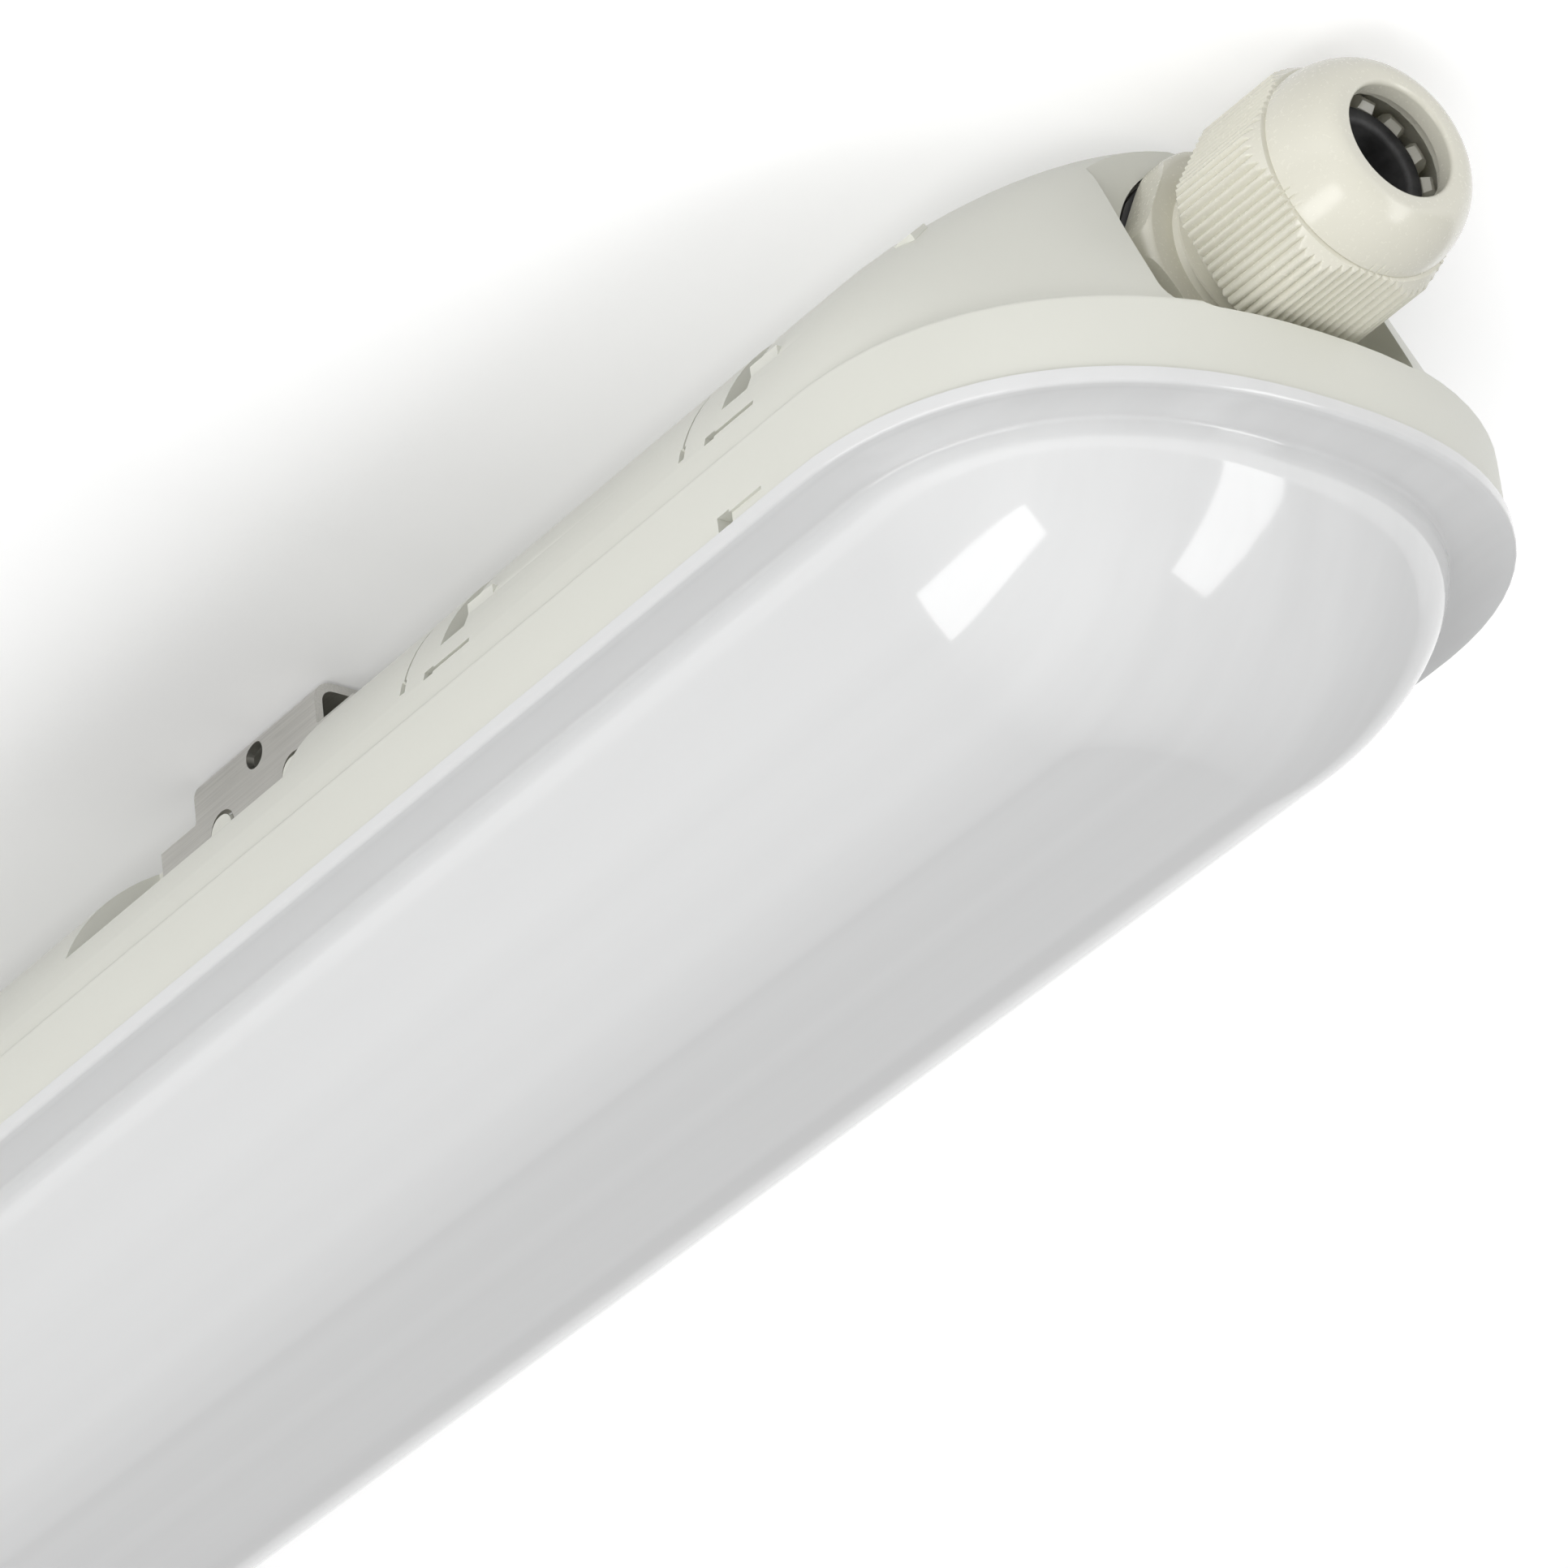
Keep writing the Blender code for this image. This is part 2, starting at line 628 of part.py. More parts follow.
def station_boxes():
    """Pockets, throats and keyways of the clip stations on the +X +Y side."""
    top = BASE_HEIGHT + OVERRUN
    side = HALF_WIDTH + OVERRUN
    pockets, throats, cuts = [], [], []
    keyway_depth = arch_slope(KEYWAY_HEIGHT, SLOT_HIGH)[0] - SLOT_DEPTH
    for start in station_starts():
        pockets.append(((start, POCKET_HALF_GAP, POCKET_FLOOR), (start + POCKET_LENGTH, side, top)))
        throats.append(((start, THROAT_HALF_GAP, POCKET_FLOOR), (start + THROAT_LENGTH, side, top)))
        keyway = start - KEYWAY_OFFSET
        low, high = KEYWAY_HEIGHT - SLOT_WIDTH / 2, KEYWAY_HEIGHT + SLOT_WIDTH / 2
        cuts.append(((keyway, keyway_depth, low), (keyway + KEYWAY_LENGTH, side, high)))
    return pockets, throats, cuts


def pry_notch():
    """The notch in the skirt's lower edge where a blade starts to lift the diffuser off."""
    start = HALF_LENGTH - PRY_FROM_END
    return (start, HALF_WIDTH - PRY_DEPTH, -OVERRUN), (start + PRY_LENGTH, HALF_WIDTH + OVERRUN, PRY_HEIGHT)


def hook_tool():
    """Snap hooks on the recesses' walls: a flat underside and a ramp above it."""
    wall = RECESS_HALF_GAP
    outline = [
        (wall - HOOK_ROOT, HOOK_LOW),
        (wall + HOOK_REACH, HOOK_LOW),
        (wall + HOOK_REACH, HOOK_LOW + HOOK_LIP),
        (wall, HOOK_HIGH),
        (wall - HOOK_ROOT, HOOK_HIGH),
    ]
    placements = []
    for low in (BRACKET_X + HOOK_INNER, BRACKET_X - HOOK_OUTER):
        upright = Matrix(((0, 0, 1, low), (1, 0, 0, 0), (0, 1, 0, 0), (0, 0, 0, 1)))
        placements += [flip @ upright for flip in mirrored()]
    return new_tool("hooks", prism_mesh("hooks", outline, HOOK_OUTER - HOOK_INNER, placements), SEAM)


def nub_tool():
    """Small blocks on the roof's shoulders, square to the arch's slope there."""
    lean = arch_slope(NUB_CENTRE_HEIGHT - NUB_WIDTH / 2, NUB_CENTRE_HEIGHT + NUB_WIDTH / 2)[1]
    foot = Matrix.Translation((HALF_LENGTH - NUB_FROM_END, NUB_FROM_MIDDLE, NUB_CENTRE_HEIGHT))
    placements = [flip @ foot @ Matrix.Rotation(lean, 4, "X") for flip in mirrored()]
    box = ((-NUB_LENGTH / 2, -NUB_SINK, -NUB_WIDTH / 2), (NUB_LENGTH / 2, NUB_HEIGHT, NUB_WIDTH / 2))
    return new_tool("nubs", boxes_mesh("nubs", [box], placements), SEAM)


def stop_boxes():
    """Ribs on the inner walls, just above the gear tray's edges."""
    low = (STOP_X - STOP_LENGTH / 2, CAVITY_HALF_WIDTH - STOP_REACH, TRAY_EDGE + GAP)
    high_y = CAVITY_HALF_WIDTH + INNER_RIM / 2
    return [(low, (STOP_X + STOP_LENGTH / 2, high_y, TRAY_EDGE + GAP + STOP_HEIGHT))]


def wall_hole(name, parent):
    """The sunk seat for the washer, and the hole that the gland's or the plug's thread screws into."""
    radius = THREAD_RADIUS + GAP
    front = SEAT_DEPTH + OVERRUN
    back = -NOTCH_WALL - OVERRUN
    outline = [(0, front), (SEAT_RADIUS, front), (SEAT_RADIUS, 0), (radius, 0), (radius, back), (0, back)]
    return turned_tool(name, outline, parent)


def make_base():
    rings = skirt_rings() + arch_rings(0, SKIRT_HEIGHT + 2 * FOOT_FILLET, ARCH_STEPS)
    base = new_part("base_housing", loft_mesh("base_housing", rings), CREAM, SEAM)
    combine(base, cavity_tool(), "DIFFERENCE")
    combine(base, channel_tool(), "DIFFERENCE")
    combine(base, notch_tool(), "DIFFERENCE")
    side, top = HALF_WIDTH + OVERRUN, BASE_HEIGHT + OVERRUN
    low = (BRACKET_X - RECESS_HALF_LENGTH, RECESS_HALF_GAP, RECESS_FLOOR)
    recess = (low, (BRACKET_X + RECESS_HALF_LENGTH, side, top))
    combine(base, box_cutter("recesses", [recess]), "DIFFERENCE")
    pockets, throats, cuts = station_boxes()
    combine(base, box_cutter("pockets", pockets), "DIFFERENCE")
    combine(base, box_cutter("throats", throats), "DIFFERENCE")
    combine(base, box_cutter("keyways_and_pry_notches", cuts + [pry_notch()]), "DIFFERENCE")
    combine(base, slot_tool(), "DIFFERENCE")
    combine(base, wall_hole("gland_hole", GLAND_AXIS), "DIFFERENCE")
    combine(base, wall_hole("plug_hole", PLUG_AXIS), "DIFFERENCE")
    combine(base, hook_tool(), "UNION")
    combine(base, nub_tool(), "UNION")
    combine(base, box_cutter("tray_stops", stop_boxes()), "UNION")
    return bake(base)


def make_gasket():
    """A ring with chamfered top edges, between the channel's roof and the diffuser's tongue."""
    outer = SKIRT_WALL + GAP
    inner = outer + GASKET_WIDTH
    low, high = TONGUE_HEIGHT + GAP, CHANNEL_DEPTH - GAP
    corners = [
        (outer, low),
        (inner, low),
        (inner, high - GASKET_CHAMFER),
        (inner - GASKET_CHAMFER, high),
        (outer + GASKET_CHAMFER, high),
        (outer, high - GASKET_CHAMFER),
    ]
    rings = [plan_ring(inset, inset, height) for inset, height in corners]
    bake(new_part("rim_gasket", loft_mesh("rim_gasket", rings, looped=True), RUBBER, SEAM))


def bowl_levels(wall, steps):
    """(inset, height) of the bowl from its shoulder down to its flat, moved inward by the wall."""
    levels = []
    for step in range(steps + 1):
        angle = math.pi / 2 * step / steps
        inset = BOWL_INSET + wall + (BOWL_CLOSE - wall) * (1 - math.cos(angle) ** BOWL_POWER)
        levels.append((inset, -BOWL_SHOULDER - (BOWL_DROP - wall) * math.sin(angle) ** BOWL_POWER))
    return levels


def make_diffuser():
    """Bowl, dished flange and sealing tongue in one shell, from the outer flat up and back down inside."""
    seat = -GAP
    lip = seat - FLANGE_THICKNESS
    dish_start = FLANGE_ROUND + FLANGE_ROUND
    dish_end = dish_start + DISH_WIDTH
    tongue = SKIRT_WALL + GAP
    flange = [
        (dish_end + DISH_DEPTH, lip - FLANGE_ROUND / 2),
        (dish_end, lip + DISH_DEPTH / 2),
        (dish_start + DISH_DEPTH, lip + DISH_DEPTH / 2),
        (dish_start - FLANGE_ROUND / 2, lip - FLANGE_ROUND / 2),
        (-FLANGE_OVERHANG + FLANGE_ROUND, lip - FLANGE_ROUND / 2),
        (-FLANGE_OVERHANG, lip + FLANGE_ROUND / 2),
        (-FLANGE_OVERHANG, seat),
        (tongue, seat),
        (tongue, TONGUE_HEIGHT),
        (tongue + TONGUE_WIDTH, TONGUE_HEIGHT),
        (tongue + TONGUE_WIDTH, seat),
        (BOWL_INSET + DIFFUSER_WALL - FLANGE_THICKNESS / 2, seat),
        (BOWL_INSET + DIFFUSER_WALL - FLANGE_ROUND / 2, seat - FLANGE_THICKNESS / 2),
    ]
    levels = bowl_levels(0, BOWL_STEPS)[::-1] + flange + bowl_levels(DIFFUSER_WALL, BOWL_INNER_STEPS)
    rings = [plan_ring(inset, inset, height) for inset, height in levels]
    bake(new_part("diffuser", loft_mesh("diffuser", rings), OPAL, DIFFUSER_SLIDE))


def claw_slots():
    """Radial slots that split the end of the gland's body into claws."""
    inner = SEAL_RADIUS - GAP
    outer = CAP_THREAD_RADIUS + OVERRUN
    half = CLAW_SLOT_WIDTH / 2
    box = ((inner, -half, CLAW_TIP - CLAW_SLOT_LENGTH), (outer, half, CLAW_TIP + OVERRUN))
    turns = [Matrix.Rotation(2 * math.pi * index / CLAW_COUNT, 4, "Z") for index in range(CLAW_COUNT)]
    return new_tool("claw_slots", boxes_mesh("claw_slots", [box], turns), GLAND_AXIS)


def make_gland_body():
    """Wall thread, hexagon, cap thread and claws on one bored body."""
    stub_end = -NOTCH_WALL - STUB_INSIDE
    outline = [
        (0, CLAW_TIP),
        (CLAW_TIP_RADIUS, CLAW_TIP),
        (CLAW_ROOT_RADIUS, CAP_THREAD_END),
        (CAP_THREAD_RADIUS, CAP_THREAD_END),
        (CAP_THREAD_RADIUS, HEX_END - BODY_CHAMFER),
        (THREAD_RADIUS, HEX_END - BODY_CHAMFER),
        (THREAD_RADIUS, stub_end),
        (0, stub_end),
    ]
    body = turned_part("gland_body", outline, GLOSSY_CREAM, GLAND_AXIS, looped=False)
    combine(body, chamfered_hexagon("gland_hex", HEX_START, HEX_END, BODY_TURN, GLAND_AXIS), "UNION")
    seat_radius = SEAL_RADIUS + GAP
    bore = [
        (0, CLAW_TIP + OVERRUN),
        (seat_radius, CLAW_TIP + OVERRUN),
        (seat_radius, SEAL_SEAT),
        (BODY_BORE, SEAL_SEAT),
        (BODY_BORE, stub_end - OVERRUN),
        (0, stub_end - OVERRUN),
    ]
    combine(body, turned_tool("gland_bore", bore, GLAND_AXIS), "DIFFERENCE")
    combine(body, claw_slots(), "DIFFERENCE")
    bake(body)


def ring_outline(inner, outer, low, high):
    return [(inner, high), (outer, high), (outer, low), (inner, low)]


def make_gland_seals():
    washer = ring_outline(THREAD_RADIUS + GAP, WASHER_RADIUS, GAP, GAP + WASHER_THICKNESS)
    bake(turned_part("gland_washer", washer, RUBBER, GLAND_AXIS, steps=SEAL_STEPS))
    low = SEAL_SEAT + GAP
    seal = [
        (SEAL_BORE, SEAL_TIP - SEAL_LIP),
        (SEAL_BORE + SEAL_LIP, SEAL_TIP),
        (SEAL_RADIUS - SEAL_LIP, SEAL_TIP),
        (SEAL_RADIUS, SEAL_TIP - SEAL_LIP),
        (SEAL_RADIUS, low),
        (SEAL_BORE, low),
    ]
    bake(turned_part("gland_seal", seal, RUBBER, GLAND_AXIS, steps=SEAL_STEPS))
    ring = ring_outline(RING_BORE, CAP_POCKET_RADIUS - GAP, SLIP_RING_TOP - RING_THICKNESS, SLIP_RING_TOP)
    bake(turned_part("gland_slip_ring", ring, GLOSSY_CREAM, GLAND_AXIS, steps=SEAL_STEPS))


def nut_outline():
    """The profile that turns the nut's hexagon down: a superelliptic dome, a shoulder, corners and rim."""
    outline = [(0, MOUTH)]
    for step in range(DOME_STEPS + 1):
        angle = math.pi / 2 * (1 - step / DOME_STEPS)
        out = math.cos(angle) ** (2 / DOME_POWER)
        up = math.sin(angle) ** (2 / DOME_POWER)
        outline.append((LIP_RADIUS + (DOME_RADIUS - LIP_RADIUS) * out, DOME_START + DOME_LENGTH * up))
    outline += [(CAP_CORNER_RADIUS, CAP_CORNER_END), (CAP_CORNER_RADIUS, CAP_RIM + CAP_CHAMFER)]
    return outline + [(CAP_CORNER_RADIUS - CAP_CHAMFER, CAP_RIM), (0, CAP_RIM)]


def make_dome_nut():
    """A hexagonal bar turned down to a dome at one end, bored for the gland's claws and the cable."""
    bar = hexagon_mesh("gland_dome_nut", CAP_FLATS, CAP_RIM - OVERRUN, MOUTH + OVERRUN, CAP_TURN)
    nut = new_part("gland_dome_nut", bar, GLOSSY_CREAM, GLAND_AXIS)
    combine(nut, turned_tool("nut_outside", nut_outline(), GLAND_AXIS), "INTERSECT")
    taper_end = LIP_INSIDE - CAP_POCKET_DEPTH
    bore = [
        (0, MOUTH + OVERRUN),
        (MOUTH_RADIUS, MOUTH + OVERRUN),
        (MOUTH_RADIUS, LIP_INSIDE),
        (CAP_POCKET_RADIUS, LIP_INSIDE),
        (CAP_POCKET_RADIUS, taper_end),
        (CAP_BORE, taper_end - CAP_TAPER_LENGTH),
        (CAP_BORE, CAP_RIM - OVERRUN),
        (0, CAP_RIM - OVERRUN),
    ]
    combine(nut, turned_tool("nut_bore", bore, GLAND_AXIS), "DIFFERENCE")
    bake(nut)


def make_plug():
    """A hollow threaded plug with a hexagonal head under a low dome, and its washer."""
    washer = ring_outline(THREAD_RADIUS + GAP, WASHER_RADIUS, GAP, GAP + WASHER_THICKNESS)
    bake(turned_part("plug_washer", washer, RUBBER, PLUG_AXIS, steps=SEAL_STEPS))
    stub_end = -NOTCH_WALL - STUB_INSIDE
    head_end = HEX_START + PLUG_HEAD_LENGTH
    dome = [(0, head_end + PLUG_DOME_HEIGHT)]
    for step in range(1, PLUG_DOME_STEPS + 1):
        angle = math.pi / 2 * step / PLUG_DOME_STEPS
        height = head_end - PLUG_DOME_HEIGHT / 2 + PLUG_DOME_HEIGHT * 3 / 2 * math.cos(angle)
        dome.append((PLUG_DOME_RADIUS * math.sin(angle), height))
    outline = dome + [(PLUG_DOME_RADIUS, HEX_START + BODY_CHAMFER), (THREAD_RADIUS, HEX_START + BODY_CHAMFER)]
    outline += [(THREAD_RADIUS, stub_end), (0, stub_end)]
    plug = turned_part("blanking_plug", outline, GLOSSY_CREAM, PLUG_AXIS, looped=False)
    combine(plug, chamfered_hexagon("plug_hex", HEX_START, head_end, PLUG_TURN, PLUG_AXIS), "UNION")
    hollow = [
        (0, HEX_START),
        (PLUG_CAVITY_RADIUS, HEX_START),
        (PLUG_CAVITY_RADIUS, stub_end - OVERRUN),
        (0, stub_end - OVERRUN),
    ]
    combine(plug, turned_tool("plug_hollow", hollow, PLUG_AXIS), "DIFFERENCE")
    bake(plug)


def folded_strip(name, half_gap, web, edge, half_length, bend):
    """Sheet folded to a U across Y: two legs at the half gap from a web's height to an edge's height."""
    rise = math.copysign(bend, edge - web)
    centre = (half_gap - bend, web + rise)
    turn_start = math.degrees(math.copysign(math.pi / 2, -rise))
    half = [(half_gap, edge)] + arc(centre, bend, 0, turn_start, BEND_STEPS)
    path = half + [(-y, z) for y, z in reversed(half)]
    shape = bmesh.new()
    rows = [[shape.verts.new((x, y, z)) for y, z in path] for x in (-half_length, half_length)]
    for index in range(len(path) - 1):
        shape.faces.new((rows[0][index], rows[1][index], rows[1][index + 1], rows[0][index + 1]))
    mesh = bpy.data.meshes.new(name)
    shape.to_mesh(mesh)
    shape.free()
    return mesh


def thicken(part, sheet):
    solidify = part.modifiers.new("sheet", "SOLIDIFY")
    solidify.thickness = sheet
    solidify.offset = 0
    return part


def bracket_cutters(parent):
    """Side waste above the feet, the hook windows, the tool hole and the screw slot."""
    reach = ARM_HALF_GAP + SHEET + OVERRUN
    top = BASE_HEIGHT + BRACKET_RISE + OVERRUN
    waste = ((BRACKET_WIDTH / 2, -reach, FOOT_TOP), (FOOT_WIDTH, reach, top))
    window = ((WINDOW_INNER, -reach, WINDOW_BOTTOM), (WINDOW_OUTER, reach, WINDOW_TOP))
    yield new_tool("bracket_waste", boxes_mesh("bracket_waste", [waste], mirrored(flip_y=False)), parent)
    yield new_tool("bracket_windows", boxes_mesh("bracket_windows", [window], mirrored(flip_y=False)), parent)
    across = Matrix.Translation((0, reach, TOOL_HOLE_HEIGHT)) @ Matrix.Rotation(math.pi / 2, 4, "X")
    hole = circle(TOOL_HOLE_RADIUS, ROUND_STEPS // 2)
    yield new_tool("bracket_tool_hole", prism_mesh("bracket_tool_hole", hole, 2 * reach, [across]), parent)
    ends = SCREW_SLOT_HALF_LENGTH - SCREW_SLOT_RADIUS
    slot = arc((0, ends), SCREW_SLOT_RADIUS, 0, 180, 8) + arc((0, -ends), SCREW_SLOT_RADIUS, 180, 360, 8)
    upward = [Matrix.Translation((0, 0, BASE_HEIGHT))]
    yield new_tool("bracket_screw_slot", prism_mesh("bracket_screw_slot", slot, OVERRUN, upward), parent)


def make_brackets():
    """Two alike brackets: a U of sheet metal with wide feet, hanging over the housing's recesses."""
    web = BASE_HEIGHT + BRACKET_RISE - SHEET / 2
    leg = ARM_HALF_GAP + SHEET / 2
    sizes = (leg, web, FOOT_BOTTOM, FOOT_WIDTH / 2, BEND_RADIUS)
    first = new_part("bracket_gland_end", folded_strip("bracket", *sizes), STEEL, SEAM, (BRACKET_X, 0, 0))
    thicken(first, SHEET)
    for cutter in bracket_cutters(first):
        combine(first, cutter, "DIFFERENCE")
    bake(first)
    new_part("bracket_plug_end", first.data, STEEL, SEAM, (-BRACKET_X, 0, 0))


def rounded_block(name, low, high, radius, material, parent):
    block = new_part(name, boxes_mesh(name, [(low, high)]), material, parent)
    bevel = block.modifiers.new("rounding", "BEVEL")
    bevel.width = radius
    bevel.segments = 2
    return block


def plain_block(name, low, high, material, parent):
    return new_part(name, boxes_mesh(name, [(low, high)]), material, parent)


def make_tray():
    """The folded tray with the cut-out that the light boards' feed comes down through."""
    leg = TRAY_HALF_WIDTH - TRAY_SHEET / 2
    web = TRAY_FLOOR + TRAY_SHEET / 2
    sizes = (leg, web, TRAY_EDGE, TRAY_END, TRAY_BEND)
    tray = new_part("gear_tray", folded_strip("gear_tray", *sizes), WHITE_STEEL, TRAY_SLIDE)
    thicken(tray, TRAY_SHEET)
    high_x = -BOARD_END - BOARD_SPACING / 2
    low = (high_x - TRAY_CUT_LENGTH, -TRAY_CUT_HALF_WIDTH, -OVERRUN)
    feed = (low, (high_x, TRAY_CUT_HALF_WIDTH, TRAY_TOP + OVERRUN))
    combine(tray, new_tool("tray_feed", boxes_mesh("tray_feed", [feed]), TRAY_SLIDE), "DIFFERENCE")
    bake(tray)


def make_light_boards():
    """Two boards under the tray, with a plug for the feed and a pair that passes it on."""
    high = TRAY_FLOOR - GAP
    low = high - BOARD_THICKNESS
    spans = {"a": (-BOARD_END, -BOARD_SPACING / 2), "b": (BOARD_SPACING / 2, BOARD_END)}
    for letter, (start, end) in spans.items():
        low_corner = (start, -BOARD_WIDTH / 2, low)
        high_corner = (end, BOARD_WIDTH / 2, high)
        plain_block("led_board_" + letter, low_corner, high_corner, WHITE_BOARD, TRAY_SLIDE)
    feed = CONNECTOR_INSET - BOARD_END
    left = -BOARD_SPACING / 2 - CONNECTOR_INSET - CONNECTOR_LENGTH
    right = BOARD_SPACING / 2 + CONNECTOR_INSET
    for name, start in (("feed", feed), ("link_a", left), ("link_b", right)):
        corner = (start, -CONNECTOR_WIDTH / 2, low - GAP - CONNECTOR_HEIGHT)
        end = (start + CONNECTOR_LENGTH, CONNECTOR_WIDTH / 2, low - GAP)
        plain_block("led_connector_" + name, corner, end, WHITE_PLASTIC, TRAY_SLIDE)


def make_driver():
    low = (DRIVER_MIDDLE - DRIVER_LENGTH / 2, -DRIVER_WIDTH / 2, ON_TRAY)
    high = (DRIVER_MIDDLE + DRIVER_LENGTH / 2, DRIVER_WIDTH / 2, ON_TRAY + DRIVER_HEIGHT)
    bake(rounded_block("driver_case", low, high, DRIVER_ROUND, WHITE_PLASTIC, TRAY_SLIDE))
    inset = Vector((LID_INSET, LID_INSET, 0))
    lid_low = Vector((low[0], low[1], high[2] + GAP)) + inset
    lid_high = Vector((high[0], high[1], high[2] + GAP + LID_THICKNESS)) - inset
    bake(rounded_block("driver_lid", lid_low, lid_high, LID_THICKNESS / 3, WHITE_PLASTIC, TRAY_SLIDE))


def terminal_sides():
    """Y of each pole of the terminal block."""
    return [WIRE_SPACING * (index - (TERMINAL_POLES - 1) / 2) for index in range(TERMINAL_POLES)]


def make_terminal():
    half_length, half_width = TERMINAL_LENGTH / 2, TERMINAL_WIDTH / 2
    border = TERMINAL_FOOT_BORDER
    foot_top = ON_TRAY + TERMINAL_FOOT_THICKNESS
    foot_low = (TERMINAL_MIDDLE - half_length - border, -half_width - border, ON_TRAY)
    foot_high = (TERMINAL_MIDDLE + half_length + border, half_width + border, foot_top)
    plain_block("terminal_foot", foot_low, foot_high, WHITE_PLASTIC, TRAY_SLIDE)
    base = foot_top + GAP
    low = (TERMINAL_MIDDLE - half_length, -half_width, base)
    high = (TERMINAL_MIDDLE + half_length, half_width, base + TERMINAL_HEIGHT)
    block = rounded_block("terminal_block", low, high, TERMINAL_ROUND, WHITE_PLASTIC, TRAY_SLIDE)
    round_hole = circle(TERMINAL_HOLE_RADIUS, SEAL_STEPS // 2)
    placements = []
    for side in terminal_sides():
        for end in (1, -1):
            mouth = TERMINAL_MIDDLE + end * (half_length - TERMINAL_HOLE_DEPTH)
            hole = Matrix.Translation((mouth, side, base + TERMINAL_HOLE_HEIGHT))
            placements.append(hole @ Matrix.Rotation(end * math.pi / 2, 4, "Y"))
    depth = TERMINAL_HOLE_DEPTH + OVERRUN
    holes = prism_mesh("terminal_holes", round_hole, depth, placements)
    combine(block, new_tool("terminal_holes", holes, TRAY_SLIDE), "DIFFERENCE")
    bake(block)


def make_earth_screw():
    washer_top = ON_TRAY + EARTH_WASHER_THICKNESS
    head_top = washer_top + EARTH_HEAD_HEIGHT
    outline = [
        (0, head_top),
        (EARTH_HEAD_RADIUS / 2, head_top),
        (EARTH_HEAD_RADIUS, head_top - EARTH_HEAD_HEIGHT / 2),
        (EARTH_HEAD_RADIUS, washer_top),
        (EARTH_WASHER_RADIUS, washer_top),
        (EARTH_WASHER_RADIUS, ON_TRAY),
        (0, ON_TRAY),
    ]
    place = (TERMINAL_MIDDLE - EARTH_SCREW_FROM_TERMINAL, -EARTH_SCREW_SIDE, 0)
    mesh = turned_mesh("earth_screw", outline, looped=False)
    bake(turn(new_part("earth_screw", mesh, STEEL, TRAY_SLIDE, place), ROUND_STEPS // 2))


def make_wire(name, route, radius, material):
    """A wire along a smooth curve through the points of its route."""
    curve = bpy.data.curves.new(name, "CURVE")
    curve.dimensions = "3D"
    curve.resolution_u = WIRE_STEPS
    curve.bevel_depth = radius
    curve.bevel_resolution = 2
    curve.use_fill_caps = True
    spline = curve.splines.new("BEZIER")
    spline.bezier_points.add(len(route) - 1)
    for point, place in zip(spline.bezier_points, route):
        point.co = place
        point.handle_left_type = "AUTO"
        point.handle_right_type = "AUTO"
    new_part(name, curve, material, TRAY_SLIDE)


def make_mains_wires():
    """Live and neutral run from the terminal block to the driver, and earth to its screw."""
    start = TERMINAL_MIDDLE - TERMINAL_LENGTH / 2 - GAP
    end = DRIVER_MIDDLE + DRIVER_LENGTH / 2 + GAP
    height = ON_TRAY + TERMINAL_FOOT_THICKNESS + GAP + TERMINAL_HOLE_HEIGHT
    low = height - WIRE_SAG
    earth_side, neutral_side, live_side = terminal_sides()
    run = start - end
    for name, side, material in (("wire_live", live_side, BROWN), ("wire_neutral", neutral_side, BLUE)):
        far = side - neutral_side / 2 + WIRE_SPACING / 2
        route = [
            (start, side, height),
            (start - run / 8, side, low),
            (start - run / 2, (side + far) / 2, low),
            (end + run / 8, far, low),
            (end, far, height),
        ]
        make_wire(name, route, WIRE_RADIUS, material)
    screw_x = TERMINAL_MIDDLE - EARTH_SCREW_FROM_TERMINAL + EARTH_WASHER_RADIUS + GAP
    screw_z = ON_TRAY + WIRE_RADIUS + GAP
    middle = ((start + screw_x) / 2, (earth_side - EARTH_SCREW_SIDE) / 2, (height + screw_z) / 2)
    route = [(start, earth_side, height), middle, (screw_x, -EARTH_SCREW_SIDE, screw_z)]
    make_wire("wire_earth", route, WIRE_RADIUS, GREEN)


def make_led_wires():
    """The driver's output runs along the tray, down through its cut-out and back into the feed plug."""
    start = DRIVER_MIDDLE - DRIVER_LENGTH / 2 - GAP
    cut = -BOARD_END - BOARD_SPACING / 2 - TRAY_CUT_LENGTH / 2
    height = ON_TRAY + LED_WIRE_RADIUS * 3
    plug_z = TRAY_FLOOR - 2 * GAP - BOARD_THICKNESS - CONNECTOR_HEIGHT / 2
    end = CONNECTOR_INSET - BOARD_END - GAP
    for name, side, material in (("wire_led_plus", 1, RED), ("wire_led_minus", -1, BLACK)):
        y = side * LED_WIRE_SPACING / 2
        route = [
            (start, y, height),
            (cut + LED_WIRE_LEAD, y, height),
            (cut - LED_WIRE_RADIUS, y, TRAY_TOP),
            (cut, y, (TRAY_FLOOR + plug_z) / 2),
            (end, y, plug_z),
        ]
        make_wire(name, route, LED_WIRE_RADIUS, material)
        link = CONNECTOR_INSET + BOARD_SPACING / 2 - GAP
        make_wire(name + "_link", [(-link, y, plug_z), (0, y, plug_z), (link, y, plug_z)],
                  LED_WIRE_RADIUS, material)


